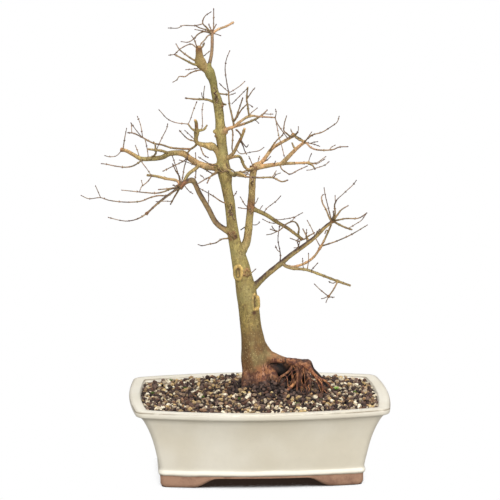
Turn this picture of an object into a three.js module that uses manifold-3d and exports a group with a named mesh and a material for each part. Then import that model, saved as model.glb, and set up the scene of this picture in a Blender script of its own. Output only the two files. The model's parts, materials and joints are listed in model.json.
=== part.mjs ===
// A trident maple bonsai, bare in winter, in a glazed rectangular pot. Millimetres, +Z up and +Y
// towards the back. It is laid out from the pot's middle, and its origin is set at the end.
import * as THREE from "three";
import { mergeVertices } from "three/addons/utils/BufferGeometryUtils.js";
import Module from "manifold-3d";

const wasm = await Module();
wasm.setup();

// Pot: a bowed rectangle that flares from the foot to a flat rim
const RIM_HEIGHT = 80.2;
const FOOT_SECTION = { halfLength: 101.9, halfWidth: 70.9, bowEnds: 0, bowSides: 9.3, corner: 5 };
const RIM_SECTION = { halfLength: 131, halfWidth: 93.4, bowEnds: 5.9, bowSides: 18, corner: 7.7 };
// How far the outside has flared, from 0 at the foot to 1 at the rim, at each height
const FLARE = [
  [0, -0.12], [3, -0.04], [11.6, -0.03], [12.6, 0.02], [16.5, 0.02], [18.5, 0], [32, 0.11],
  [48, 0.275], [60, 0.46], [69, 0.66], [74, 0.89], [76.5, 0.98], [79, 1], [RIM_HEIGHT, 0.955],
];
const RIM_WIDTH = 10.5;
const WALL = 7.5;
const FLOOR_TOP = 15;
const FLOOR_FILLET = 4;
const LIP_DEPTH = 5;
const CLEAR_ABOVE = 30;
const FOOT_RECESS = 9.3;
const FOOT_WALL = 12;
const FRONT_GATE = { bottom: 69.5, top: 44 };
const END_GATE = { bottom: 40, top: 24 };
const GATE_REACH = 150;
const DRAIN_RADIUS = 9;
const DRAIN_OFFSET = 48;
const SECTION_SIDES = 32;

// Drainage screens: plastic net squares over the drain holes
const SCREEN_SIDE = 30;
const SCREEN_THICK = 1.2;
const SCREEN_BAR = 1.8;
const SCREEN_BARS = 4;

// Soil: coarse grit, mounded round the trunk
const SOIL_EDGE = 76.5;
const SOIL_MOUND = { height: 10.5, across: 12, back: 6, length: 75, width: 48 };
const GRAIN_PITCH = 6.8;
const GRAIN_SHIFT = 0.6;
const GRAIN_RELIEF = 2.1;
const GRAIN_SEED = 20261;

// Play left round everything that stands in something else
const GAP = 0.35;
const ROOT_GAP = 0.45;

// The tree is laid out as its front shows it to someone looking slightly down on it: each point is
// given across from the pot's middle, up in that front view, and back from the pot's middle line.
const FRONT_DISTANCE = 2600;
const FRONT_TILT = THREE.MathUtils.degToRad(10.5);
const FRONT_TURN = THREE.MathUtils.degToRad(3);
const FRONT_LEVEL = 235;

// Trunk and leader: across, up, back, radius
const TRUNK = [
  [-1, 57, 10, 10], [-1.5, 73, 10, 14], [-1.5, 85, 10, 15.4], [-1.5, 95, 10, 15], [-2, 106, 10, 14.4],
  [-4, 119, 9, 13.9], [-5.5, 133, 9, 12.2], [-8, 149, 8, 10.7], [-10, 167, 8, 10.4],
  [-12.5, 185, 7, 10.2], [-15.5, 200, 6, 8.8], [-18, 211, 5.5, 8.7], [-20.5, 221, 5, 7.6],
  [-23, 230, 4, 6.4], [-25.5, 242, 3, 5.7], [-27.5, 257, 2, 5.2], [-29.5, 275, 1, 5],
  [-32.5, 291, 0, 5.4], [-34, 302, -1, 7], [-36, 312, -1, 6.6], [-36, 320, -2, 5.4],
  [-37, 331, -2, 4.9], [-38.5, 343, -3, 5.3], [-39, 355, -3, 4.6], [-40, 366, -4, 4.7],
  [-41.5, 375.5, -4, 4.7], [-44.5, 386, -5, 3.7], [-46, 395.5, -5, 3.9], [-49.5, 404.5, -6, 5.2],
  [-52.5, 411, -6, 4],
];

// Roots and shoots: name, what it grows from, radius at its root and at its tip, how far its tip lies
// behind its root, and its way in the front view. Each one starts on the axis of what it grows from.
const ROOTS = [
  ["root_arch", "trunk", 9, 2.6, -1, [[-5, 125], [4, 122], [12, 120], [20, 118], [28, 117.5]]],
  ["root_head", "root_arch", 2.8, 4.6, -2, [[28, 117.5], [34, 115], [42, 114], [48, 111]]],
  ["root_back", "root_head", 3.4, 1.6, 16, [[41, 115.5], [49, 115], [53, 108], [60, 101], [69, 90]]],
  ["root_a", "root_head", 3.2, 1.3, -8, [[44, 114], [50, 110], [54, 104], [59, 98], [66, 88]]],
  ["root_b", "root_head", 3.0, 1.7, -14, [[45, 112], [48, 104], [51, 97], [49.5, 83]]],
  ["root_c", "root_head", 3.8, 2.6, -6, [[40, 113], [41, 104], [39.5, 96], [39, 85]]],
  ["root_d", "root_head", 1.6, 1.1, -16, [[37, 114.5], [38, 109], [38.5, 100.5], [38, 86]]],
  ["root_e", "root_head", 1.5, 1.0, -12, [[34, 114.5], [32, 109], [27.5, 104], [19, 98], [13, 87]]],
  ["root_f", "root_head", 1.5, 1.0, -10, [[32, 114.5], [33, 106], [34, 96.5], [33, 86]]],
  ["root_g", "root_c", 2.0, 1.2, -22, [[40, 98], [33, 91], [25.5, 83.5], [21, 76]]],
  ["root_i", "root_head", 2.6, 1.4, 18, [[38, 114], [41, 106], [46, 98], [47, 88]]],
  ["root_j", "root_arch", 3.0, 1.7, 16, [[27, 115.5], [26, 108], [22, 99], [19, 87]]],
  ["root_k", "root_arch", 2.6, 1.7, 10, [[17, 116.5], [14, 107], [16, 88]]],
  ["root_m", "root_head", 3.4, 2.6, 20, [[30, 115.5], [27, 107], [30, 96], [32, 86]]],
  ["root_l", "root_a", 1.3, 0.9, 6, [[55, 102], [61, 99], [68, 95], [74, 87]]],
  ["buttress_a", "trunk", 8, 2.8, -15, [[-7, 117], [-10, 105], [-13, 94], [-14, 80]]],
  ["buttress_b", "trunk", 8, 2.8, -19, [[0, 115], [3, 103], [7, 92], [9, 77]]],
  ["buttress_c", "trunk", 6.5, 3, 15, [[-8, 115], [-11, 104], [-14, 89]]],
  ["buttress_d", "trunk", 7.5, 2.8, -8, [[3, 115], [10, 105], [17, 95], [24, 82]]],
  ["buttress_e", "trunk", 7, 2.6, 19, [[1, 115], [10, 104], [17, 89]]],
  ["buttress_f", "trunk", 6.5, 2.6, 23, [[-4, 115], [-5, 105], [-7, 91]]],
  ["buttress_g", "trunk", 5.5, 2.6, 4, [[-9, 113], [-11.5, 103], [-14, 89]]],
  ["buttress_h", "trunk", 7.5, 6, 22, [[4, 113], [16, 109], [30, 106], [42, 101], [50, 92]]],
];
const SHOOTS = [
  ["left_low", "trunk", 2.9, 2.1, -22, [[-30.5, 242], [-42, 253.5], [-51, 269], [-59.5, 283.5],
    [-66.5, 296.5], [-73, 295], [-79.5, 290]]],
  ["left_mid", "trunk", 3.6, 1.6, 22, [[-37, 310], [-47, 310], [-59.5, 313], [-69, 318.5],
    [-75.5, 323.5], [-90, 323.5], [-96.5, 320], [-108, 318.5], [-118, 318.5], [-125.5, 322.5],
    [-133, 326.5], [-138, 327.5]]],
  ["shoulder", "trunk", 3.0, 1.9, -16, [[-40, 315], [-45, 329.5], [-52, 331.5], [-62.5, 335],
    [-62.5, 345], [-63, 354.5], [-64, 357]]],
  ["link", "left_mid", 1.9, 1.6, -18, [[-59.5, 312], [-63, 309], [-71, 302.5], [-76.5, 292]]],
  ["right_stem", "trunk", 4.3, 3.2, 14, [[-16.5, 223], [-13, 234], [-11, 243.5], [-9.5, 258.5],
    [-7.5, 278], [-6.5, 297], [-5, 311]]],
  ["right_low", "trunk", 3.4, 1.5, -26, [[-10, 186], [-3.5, 192], [9, 203.5], [21.5, 213.5],
    [31, 221.5], [47, 233], [56.5, 240.5], [66, 250], [75, 257]]],
  ["right_mid", "right_stem", 2.3, 1.3, 24, [[-7.5, 269.5], [7, 262.5], [18.5, 255], [28, 249.5],
    [37.5, 242.5], [43, 238]]],
  ["right_top", "right_stem", 2.8, 1.1, 14, [[-4, 309.5], [5, 311], [11.5, 312], [23, 313.5],
    [34.5, 314], [50.5, 314.5]]],
  ["right_fan", "right_top", 2.5, 1.4, -14, [[23, 313.5], [29.5, 320.5], [38, 329], [46, 335.5]]],
  ["right_rise", "right_stem", 2.2, 1.3, 22, [[-4, 310.5], [2, 314.5], [7, 320.5], [13.5, 329],
    [23, 335], [31, 339.5], [35, 342.5]]],
  ["upper_right", "trunk", 2.2, 0.7, -20, [[-41.5, 343], [-37.5, 344], [-30.5, 348.5], [-25, 350.5],
    [-19.5, 355], [-9.5, 361], [0, 360.5], [16, 359.5]]],
  ["crown_stub", "trunk", 5, 2.6, -6, [[-49.5, 404.5], [-58.5, 414.5], [-60, 424], [-60.5, 430.5]]],
  ["crown_shoot", "trunk", 1.8, 1.5, 8, [[-48, 409], [-47.5, 424], [-47, 441.5], [-47.5, 446.5]]],
  ["front_limb", "trunk", 2.8, 1.3, -74, [[-36.5, 311], [-31, 306], [-25, 302], [-22, 304], [-14, 301]]],
  ["front_low", "trunk", 2.2, 1.0, -64, [[-30, 272], [-28, 269], [-29.5, 266], [-28, 262]]],
  ["back_limb", "trunk", 2.8, 1.2, 78, [[-36.5, 327], [-34.5, 329.5], [-39, 332], [-35, 334.5],
    [-39.5, 337]]],
  ["back_low", "trunk", 2.3, 1.1, 70, [[-29, 262], [-27, 264.5], [-31, 267], [-27, 270]]],
  ["back_high", "trunk", 1.6, 0.8, 52, [[-39.5, 365], [-38, 367], [-41, 369], [-38.5, 372]]],
  ["front_high", "trunk", 1.5, 0.8, -46, [[-42, 377], [-43.5, 379], [-42.5, 381], [-45, 384]]],
  ["top_pin", "crown_shoot", 0.6, 0.5, -4, [[-47.5, 445], [-46, 447], [-45.5, 459], [-45.5, 468]]],
  ["top_right", "crown_shoot", 1.3, 1.0, 12, [[-47.5, 444], [-40.5, 448], [-32.5, 451], [-25.5, 455]]],
  ["top_left", "crown_shoot", 0.9, 0.4, -14, [[-47.5, 444], [-53, 450], [-56.5, 454], [-54.5, 460.5],
    [-48.5, 465]]],
  ["top_wide", "top_left", 0.6, 0.35, -18, [[-56.5, 453.5], [-64, 451.5], [-76.5, 451.5],
    [-81.5, 449], [-90.5, 449]]],
  ["top_low", "crown_shoot", 0.9, 0.4, 14, [[-47.5, 444], [-55.5, 445.5], [-61.5, 442.5],
    [-65, 438.5], [-71, 435], [-77.5, 435.5]]],
  ["top_tie", "crown_shoot", 0.7, 0.6, -12, [[-47.5, 443], [-51, 441.5], [-54.5, 437], [-57.5, 434],
    [-59.5, 430]]],
  ["top_a", "crown_shoot", 0.8, 0.5, 18, [[-47.5, 444], [-52, 447], [-58.5, 449], [-64, 451.5]]],
  ["top_b", "crown_shoot", 0.7, 0.4, -20, [[-47.5, 444], [-53.5, 445.5], [-64, 447.5]]],
  ["top_c", "crown_shoot", 0.8, 0.5, 6, [[-47.5, 445], [-45, 449], [-43, 452.5]]],
  ["top_d", "crown_shoot", 0.7, 0.4, 16, [[-47.5, 445], [-49, 450], [-50.5, 453]]],
  ["top_e", "crown_shoot", 0.6, 0.35, 8, [[-47.5, 444], [-43, 443], [-38.5, 441.5]]],
  ["stub_a", "crown_stub", 0.8, 0.4, -12, [[-60, 429], [-62.5, 431], [-65, 437.5], [-67.5, 441]]],
  ["stub_b", "crown_stub", 0.9, 0.7, 8, [[-60, 427], [-56.5, 430.5], [-55, 434]]],
  ["stub_c", "crown_stub", 0.7, 0.4, 14, [[-60, 428], [-63.5, 430], [-68, 433], [-78.5, 428.5],
    [-84.5, 423], [-90, 422]]],
  ["stub_d", "crown_stub", 1.4, 0.7, -10, [[-58.5, 414.5], [-64, 412.5], [-74, 417], [-84.5, 422.5]]],
  ["stub_e", "crown_stub", 1.1, 0.45, 16, [[-58.5, 416], [-65, 417], [-72, 421.5], [-79.5, 427.5],
    [-83, 433]]],
  ["stub_f", "trunk", 0.8, 0.4, -22, [[-50, 406], [-59.5, 407], [-69, 404], [-74, 400.5],
    [-80, 400.5], [-82, 397.5], [-86, 395]]],
  ["stub_g", "crown_stub", 0.6, 0.4, 20, [[-56, 411], [-63, 408.5], [-73, 407.5]]],
  ["stub_h", "crown_stub", 0.6, 0.4, 22, [[-59.5, 422], [-56, 421], [-52.5, 423.5], [-49.5, 426]]],
  ["left_spur", "trunk", 1.6, 0.6, 10, [[-42.5, 374], [-46, 375.5], [-52, 377.5], [-64, 378],
    [-73.5, 379]]],
  ["left_spur_up", "left_spur", 0.55, 0.4, 4, [[-55.5, 377.5], [-55.5, 383], [-54.5, 390.5]]],
  ["right_peg", "trunk", 1.3, 0.9, 4, [[-41, 373.5], [-36.5, 373], [-33, 372.5]]],
  ["riser", "upper_right", 1.1, 0.7, 10, [[-25, 350.5], [-25.5, 353.5], [-28, 365], [-29.5, 371.5],
    [-30.5, 382.5], [-30.5, 386]]],
  ["riser_tip", "riser", 0.6, 0.35, 8, [[-30.5, 385.5], [-32.5, 395.5], [-34, 409], [-32.5, 418.5],
    [-29.5, 426]]],
  ["riser_tie", "trunk", 1.1, 0.7, 6, [[-44, 385], [-39.5, 383.5], [-30.5, 382.5]]],
  ["lift", "upper_right", 1.0, 0.8, -12, [[-9.5, 360.5], [-10.5, 364], [-11.5, 371.5], [-12.5, 377.5],
    [-11.5, 390]]],
  ["lift_a", "lift", 0.6, 0.35, -8, [[-12, 377.5], [-7, 386], [-4.5, 389]]],
  ["cross_a", "riser", 0.9, 0.6, -8, [[-25.5, 356], [-24, 357], [-17.5, 367.5], [-11.5, 373.5]]],
  ["cross_b", "riser", 0.9, 0.6, -20, [[-26, 357], [-24, 358], [-20, 368.5], [-16.5, 379]]],
  ["second", "upper_right", 1.4, 0.6, 14, [[-25, 350], [-17.5, 352.5], [-8, 356], [0, 360],
    [4.5, 363.5], [8, 367]]],
  ["drop_a", "upper_right", 0.6, 0.45, 12, [[16, 359.5], [17, 356], [19.5, 351.5], [24, 345],
    [28, 339.5]]],
  ["spine", "upper_right", 0.8, 0.6, 8, [[-28, 349.5], [-26.5, 346], [-26.5, 337], [-27, 328.5],
    [-26, 324]]],
  ["hook", "trunk", 2.0, 1.3, -26, [[-36.5, 320], [-30, 320.5], [-25.5, 324.5], [-21, 333.5],
    [-17.5, 340], [-14.5, 348.5]]],
  ["hook_a", "hook", 1.0, 0.7, 8, [[-17.5, 340], [-19.5, 344], [-23, 347.5]]],
  ["hook_b", "hook", 0.7, 0.4, -10, [[-17.5, 337], [-15.5, 333], [-12.5, 330], [-11, 332]]],
  ["hook_c", "hook", 0.7, 0.4, 12, [[-18.5, 336], [-16, 331], [-14.5, 326.5], [-12.5, 323]]],
  ["bridge", "trunk", 1.6, 1.3, 16, [[-36, 316], [-30, 319], [-19.5, 320.5], [-15, 311.5],
    [-11.5, 308], [-5.5, 309]]],
  ["bridge_b", "trunk", 1.0, 0.8, 22, [[-34, 302.5], [-23, 302.5], [-14, 306], [-6, 307.5]]],
  ["crown_a", "trunk", 0.9, 0.6, -34, [[-35, 305], [-43, 305], [-49, 300], [-52, 294]]],
  ["crown_b", "trunk", 0.8, 0.5, -18, [[-41, 306], [-44, 303], [-54.5, 297.5], [-62.5, 292.5]]],
  ["crown_d", "trunk", 0.8, 0.5, 20, [[-40, 306], [-45, 303.5], [-53.5, 307.5], [-60, 311]]],
  ["crown_e", "trunk", 0.6, 0.4, -30, [[-40, 312], [-47, 312], [-52.5, 315], [-60.5, 320]]],
  ["low_bar", "trunk", 1.1, 0.7, -12, [[-33, 301.5], [-27.5, 302], [-14, 300.5], [0, 299.5],
    [13.5, 299.5], [23, 295.5], [28.5, 297]]],
  ["low_bar_a", "low_bar", 0.6, 0.4, 8, [[13, 299.5], [15, 302.5], [17, 306]]],
  ["low_bar_b", "low_bar", 0.55, 0.35, -10, [[14, 299.5], [17, 302.5], [21, 304]]],
  ["nub", "trunk", 0.6, 0.4, -6, [[-30, 279], [-25, 281.5], [-22.5, 285.5]]],
  ["shoulder_a", "shoulder", 1.3, 0.9, 8, [[-62.5, 346], [-55.5, 347.5], [-52, 352]]],
  ["shoulder_c", "shoulder", 1.1, 0.8, -10, [[-62.5, 343], [-63, 345], [-67.5, 348.5], [-71, 353]]],
  ["shoulder_f", "shoulder", 0.9, 0.4, -16, [[-62.5, 335.5], [-65, 336], [-71, 338], [-76.5, 343],
    [-79.5, 346.5]]],
  ["shoulder_h", "shoulder", 0.7, 0.5, -22, [[-60, 334], [-55.5, 322.5], [-51, 319.5]]],
  ["shoulder_i", "shoulder", 1.3, 0.8, 14, [[-61.5, 335], [-64, 331], [-69, 327.5], [-72, 323.5]]],
  ["left_high", "shoulder_i", 1.1, 0.6, 22, [[-68, 328], [-78.5, 328.5], [-88, 329.5], [-97.5, 332.5],
    [-105.5, 334], [-117, 340], [-125.5, 344], [-131, 344.5]]],
  ["left_high_d", "left_high", 0.55, 0.4, -18, [[-114.5, 338], [-112, 329], [-111, 321]]],
  ["slab", "left_mid", 1.5, 1.1, -12, [[-90, 323.5], [-96, 326], [-102.5, 327], [-111, 328]]],
  ["slab_a", "slab", 1.0, 0.7, 6, [[-103.5, 327], [-104, 333], [-105.5, 335]]],
  ["slab_b", "slab", 1.0, 0.8, 12, [[-103, 327], [-104, 322.5], [-108, 320]]],
  ["left_tip_a", "left_mid", 0.65, 0.4, -6, [[-136, 327], [-134.5, 338], [-132.5, 348.5]]],
  ["left_under", "left_mid", 0.9, 0.45, -16, [[-117, 318.5], [-118, 316.5], [-125.5, 311.5],
    [-133, 310], [-143, 311], [-153, 313], [-157.5, 313.5]]],
  ["left_twig_b", "left_mid", 0.55, 0.4, -26, [[-117, 318], [-117, 315], [-112, 308], [-108, 302]]],
  ["amber", "left_low", 1.5, 1.2, 16, [[-79, 291], [-81.5, 296], [-93, 298.5], [-103.5, 301],
    [-112, 302]]],
  ["amber_a", "amber", 0.6, 0.4, -14, [[-108, 301.5], [-108.5, 299.5], [-112, 295], [-117, 291],
    [-118.5, 288.5], [-119.5, 285.5]]],
  ["fan_a", "left_low", 0.9, 0.5, -18, [[-79, 290], [-90, 288.5], [-100.5, 287.5]]],
  ["fan_b", "left_low", 1.0, 0.4, 12, [[-79, 290], [-89, 288], [-95, 285.5], [-102.5, 284],
    [-113, 284.5], [-122.5, 285.5], [-137, 287]]],
  ["fan_c", "left_low", 1.3, 1.0, -22, [[-79, 290], [-86, 285.5], [-100.5, 274.5], [-113, 263]]],
  ["fan_d", "fan_c", 0.75, 0.35, -14, [[-111.5, 264.5], [-118, 260], [-125.5, 257], [-133, 256],
    [-140.5, 257], [-150.5, 259.5]]],
  ["fan_e", "fan_c", 0.8, 0.4, 18, [[-88, 284.5], [-93, 281.5], [-100.5, 281.5], [-109, 279.5],
    [-118, 276], [-129.5, 275], [-140.5, 275.5], [-150.5, 277], [-158.5, 279.5], [-170.5, 278.5],
    [-177.5, 281.5]]],
  ["fan_g", "left_low", 1.1, 0.6, 10, [[-79, 290], [-81.5, 285.5], [-85, 279.5], [-88.5, 273]]],
  ["fan_i", "left_low", 0.8, 0.5, -14, [[-78.5, 291], [-79.5, 299.5], [-83.5, 306.5], [-86.5, 313]]],
  ["fan_j", "left_low", 0.6, 0.4, -26, [[-78.5, 291], [-80.5, 301.5], [-84.5, 314], [-87, 321.5]]],
  ["fan_k", "left_low", 0.7, 0.45, 22, [[-78, 291], [-76.5, 299.5], [-74.5, 311], [-71, 322.5]]],
  ["fan_m", "left_low", 0.6, 0.45, 20, [[-66.5, 296], [-64, 298.5], [-63, 309], [-63.5, 324]]],
  ["fan_n", "left_low", 0.9, 0.5, -34, [[-79, 290], [-82, 291.5], [-84, 291], [-86, 292]]],
  ["fan_o", "left_low", 0.9, 0.5, 36, [[-78, 290.5], [-75, 292.5], [-72, 294.5], [-68, 295.5]]],
  ["web_a", "left_mid", 0.6, 0.5, -34, [[-71, 320], [-73, 318], [-77.5, 315], [-87, 310.5], [-96, 306]]],
  ["knee_b", "trunk", 0.8, 0.4, -22, [[-30, 274], [-36.5, 275], [-45, 280.5], [-50, 283.5],
    [-59, 288.5]]],
  ["fork_a", "trunk", 0.9, 0.4, -14, [[-26, 240], [-30.5, 239], [-37.5, 238], [-43, 234.5],
    [-50, 233], [-57, 231.5], [-60.5, 232.5]]],
  ["stem_a", "right_stem", 0.6, 0.35, -10, [[-8, 269], [-12, 268.5], [-17, 269], [-20.5, 269.5]]],
  ["stem_b", "right_stem", 0.6, 0.4, 8, [[-8, 270], [-13, 271.5], [-18.5, 280]]],
  ["stem_g", "right_stem", 0.8, 0.5, 12, [[-10.5, 250.5], [-14, 250], [-18, 247.5]]],
  ["stem_h", "right_stem", 0.6, 0.4, -40, [[-8, 269], [-9, 266], [-8, 263]]],
  ["stem_i", "right_stem", 0.9, 0.5, 34, [[-7, 287], [-6, 290], [-8, 293], [-6, 297]]],
  ["stem_j", "right_stem", 0.9, 0.5, -36, [[-6.5, 292], [-7.5, 294], [-6, 297], [-7, 300]]],
  ["mid_a", "right_mid", 0.7, 0.4, -12, [[42, 238.5], [40.5, 236], [35.5, 237.5], [31.5, 239]]],
  ["mid_c", "right_mid", 1.0, 0.7, -10, [[40.5, 240], [39.5, 243.5], [40, 249], [36.5, 255], [32, 256]]],
  ["mid_d", "mid_c", 0.8, 0.5, -14, [[32.5, 256], [27, 253], [23, 249], [18.5, 246], [11.5, 248]]],
  ["mid_j", "right_mid", 0.9, 0.6, 6, [[42, 238.5], [45, 238], [48.5, 240.5], [55.5, 244.5]]],
  ["low_up", "right_low", 0.7, 0.4, 10, [[21.5, 213.5], [21, 215.5], [21.5, 220.5], [21, 226],
    [19, 237.5], [20.5, 251]]],
  ["tip_a", "right_low", 1.0, 0.5, 12, [[73.5, 256], [71, 258], [67, 267.5], [63.5, 274], [62.5, 280],
    [64, 282.5]]],
  ["tip_b", "right_low", 0.65, 0.4, -12, [[73.5, 256], [71.5, 260.5], [68.5, 272], [66, 282.5],
    [65, 289]]],
  ["tip_c", "right_low", 1.0, 0.6, -16, [[74, 256.5], [76, 263.5], [75.5, 272], [77.5, 277]]],
  ["tip_f", "right_low", 1.1, 0.5, 20, [[74, 256.5], [78.5, 262.5], [82.5, 267.5], [89, 271.5]]],
  ["tip_g", "right_low", 1.0, 0.5, -26, [[74, 256.5], [78.5, 257], [86.5, 258.5], [99.5, 259],
    [107.5, 264]]],
  ["tip_h", "right_low", 1.2, 0.8, 14, [[74, 256], [77.5, 254], [85.5, 250], [93, 247.5]]],
  ["tip_j", "right_low", 0.9, 0.5, 30, [[74, 256.5], [72, 254.5], [69, 253], [66, 250.5]]],
  ["tip_k", "right_low", 0.9, 0.5, -34, [[74, 256.5], [73.5, 259], [74.5, 262], [74, 266]]],
  ["arch", "right_low", 1.5, 1.0, 16, [[23, 214.5], [25, 212.5], [31, 210.5], [37.5, 211],
    [47, 214.5], [55, 220.5], [61.5, 230], [66, 238.5], [72.5, 253]]],
  ["arch_a", "arch", 0.8, 0.4, -12, [[62, 231], [76, 235.5], [90, 241.5], [99, 246.5], [108, 252]]],
  ["arch_b", "arch", 0.55, 0.35, 10, [[61.5, 230], [56.5, 239.5], [53, 248], [48.5, 256.5]]],
  ["arch_c", "arch", 0.7, 0.5, -8, [[69.5, 246], [67.5, 247], [66, 244]]],
  ["low_out", "right_low", 1.7, 1.1, -22, [[23, 214.5], [26, 211.5], [32, 209], [47, 207.5],
    [61.5, 202.5], [78.5, 196], [91.5, 191.5]]],
  ["low_out_a", "low_out", 0.55, 0.4, 8, [[48.5, 207], [49.5, 216.5], [49.5, 223.5]]],
  ["low_out_d", "low_out", 0.9, 0.7, -12, [[79, 196], [77, 192.5], [74, 187], [69, 180]]],
  ["low_out_e", "low_out_d", 0.55, 0.4, 8, [[69.5, 180.5], [60.5, 188], [55.5, 193]]],
  ["limb_a", "right_low", 0.9, 0.6, 12, [[50, 235.5], [48, 240], [44, 248]]],
  ["limb_b", "right_low", 0.6, 0.4, -14, [[47.5, 233.5], [47.5, 239.5], [47.5, 247.5]]],
  ["limb_d", "right_low", 0.7, 0.4, -24, [[38, 227], [39.5, 231], [38.5, 235], [40, 240]]],
  ["limb_e", "right_low", 0.7, 0.4, 26, [[27, 218], [30, 220], [33, 222.5], [36, 225]]],
  ["prong_a", "right_rise", 0.9, 0.45, -12, [[31.5, 340], [28, 343.5], [25, 346.5], [25.5, 354],
    [27.5, 361]]],
  ["prong_b", "right_rise", 0.7, 0.4, 10, [[34, 342], [33, 345], [32, 348]]],
  ["prong_c", "right_rise", 0.9, 0.6, -6, [[34.5, 342], [37, 343], [39, 345]]],
  ["prong_e", "right_fan", 1.3, 0.8, 8, [[37.5, 328.5], [35, 330], [33, 334.5]]],
  ["prong_f", "right_fan", 1.2, 0.8, 14, [[46, 335.5], [40, 337.5], [36, 340.5]]],
  ["prong_g", "right_rise", 0.9, 0.5, -22, [[10.5, 325], [13, 330.5], [18, 337], [23, 341.5],
    [24.5, 344.5]]],
  ["prong_h", "right_rise", 0.7, 0.4, 12, [[2.5, 314.5], [7, 316.5], [11.5, 320.5]]],
  ["prong_j", "right_rise", 0.9, 0.5, 34, [[34.5, 342], [38, 340.5], [42, 338.5], [45, 336.5]]],
  ["prong_k", "right_rise", 0.8, 0.5, -34, [[34.5, 342], [32, 340.5], [29, 339], [26, 337]]],
  ["sweep_a", "right_fan", 0.75, 0.35, -14, [[45, 335], [51.5, 341.5], [63, 345], [72, 350.5],
    [78, 355], [80, 360.5]]],
  ["sweep_c", "right_fan", 1.1, 0.5, -18, [[45, 335], [47.5, 334], [51.5, 330], [57.5, 327.5],
    [73.5, 327.5], [80, 330], [88.5, 330.5]]],
  ["sweep_e", "right_fan", 0.7, 0.4, 16, [[45, 335], [48, 334.5], [55, 333], [60.5, 331]]],
  ["sweep_g", "right_fan", 0.8, 0.4, -30, [[45, 335], [47.5, 337.5], [50.5, 340], [54, 342]]],
  ["end_a", "right_top", 0.6, 0.35, 10, [[49.5, 314.5], [57.5, 314.5], [66.5, 320.5]]],
  ["end_c", "right_top", 1.1, 0.7, -6, [[49.5, 314.5], [53.5, 312], [56, 308]]],
  ["end_f", "right_top", 0.7, 0.5, -14, [[21, 313], [23, 308], [27, 305], [31, 303], [39, 307],
    [48, 311]]],
  ["end_h", "right_top", 0.8, 0.4, 30, [[41, 314], [45, 314], [49, 313.5], [52.5, 312]]],
  ["stem_top", "right_stem", 0.6, 0.4, -4, [[-5, 309], [-7, 313.5], [-10, 320.5]]],
  ["stem_top_b", "right_stem", 0.6, 0.4, 8, [[-5, 309], [-1.5, 314.5], [0.5, 320.5]]],
  ["scar_twig", "trunk", 0.6, 0.45, -4, [[-14, 204.5], [-8.5, 204], [-3.5, 208]]],
  ["front_a", "front_limb", 0.9, 0.45, -26, [[-29, 304.5], [-33, 306.5], [-37, 305], [-40, 307.5]]],
  ["front_b", "front_limb", 0.9, 0.45, -18, [[-24, 303], [-19, 305.5], [-14, 304], [-9, 306]]],
  ["front_c", "front_limb", 0.8, 0.4, -16, [[-23, 303.5], [-27, 307], [-31, 309], [-33, 313]]],
  ["front_d", "front_limb", 0.7, 0.4, -24, [[-15, 301.5], [-11, 303], [-8, 299], [-6, 295]]],
  ["front_e", "front_low", 0.8, 0.4, -20, [[-29, 267], [-31, 265.5], [-29, 263], [-31, 260]]],
  ["front_f", "front_low", 0.7, 0.4, -16, [[-29, 265], [-26.5, 263.5], [-27, 260], [-25, 257.5]]],
  ["front_g", "front_low", 0.6, 0.35, -18, [[-28.5, 263], [-29.5, 266], [-27.5, 269], [-29, 272.5]]],
  ["back_a", "back_limb", 0.9, 0.4, 26, [[-37, 333], [-39, 338], [-36.5, 343], [-39, 348]]],
  ["back_b", "back_limb", 0.8, 0.4, 20, [[-35.5, 334], [-38.5, 331], [-36, 326], [-38, 321]]],
  ["back_c", "back_limb", 0.7, 0.4, 17, [[-38.5, 336.5], [-35.5, 340], [-37, 345], [-41, 349]]],
  ["back_d", "back_low", 0.8, 0.4, 22, [[-30.5, 267], [-33, 271], [-29, 275], [-31.5, 280]]],
  ["back_e", "back_low", 0.7, 0.4, 18, [[-28.5, 269], [-26, 264], [-29, 259], [-26, 254]]],
  ["back_f", "back_high", 0.6, 0.35, 18, [[-40.5, 368.5], [-42.5, 364], [-40, 359.5]]],
  ["back_g", "back_high", 0.6, 0.35, 16, [[-39.5, 371], [-42, 376], [-41, 381]]],
  ["front_h", "front_high", 0.6, 0.35, -16, [[-43, 380], [-41.5, 377.5], [-43, 374.5]]],
  ["front_i", "front_high", 0.6, 0.35, -14, [[-44.5, 383.5], [-43, 386], [-45.5, 389]]],
];

// Knuckles where limbs were cut back: the limb, across, up, radius there
const KNUCKLES = [
  ["crown_shoot", -47.5, 446.5, 2.6], ["left_mid", -76, 323.5, 3.2], ["left_mid", -138, 327.5, 2.3],
  ["left_low", -79.5, 290, 3.3], ["left_low", -66.5, 296.5, 2.9], ["fan_c", -113, 263, 1.9],
  ["right_stem", -5, 311, 4.4], ["right_stem", -7.5, 271, 4], ["right_low", 75, 257, 2.6],
  ["right_low", 21.5, 213.5, 3], ["right_rise", 35, 342.5, 2.5], ["right_fan", 46, 335.5, 1.9],
  ["right_mid", 43, 238, 2], ["low_out_d", 69, 180, 1.6], ["arch", 61.5, 230, 1.7],
  ["upper_right", -9.5, 361, 1.7], ["right_top", 50.5, 314.5, 1.8], ["low_out", 78.5, 196, 1.8],
];

// Healed pruning wounds on the front of the trunk: across, up, half width, half height, callus radius
const SCARS = [[-21.5, 205.5, 3.3, 6.2, 1.5], [-3.5, 175.5, 3.2, 7.6, 1.7]];
const SCAR_STUB = { across: -13, up: 204.5, back: 1, radius: 3.2 };

const COLORS = { glaze: 0xddd6c2, grit: 0x6b5646, bark: 0x8f8156, net: 0x2c2f2c };

const { Vector3, CatmullRomCurve3 } = THREE;

// A seeded draw between 0 and 1
function seeded(seed) {
  let state = seed;
  return () => {
    state = (Math.imul(state, 1664525) + 1013904223) >>> 0;
    return state / 4294967296;
  };
}

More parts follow.
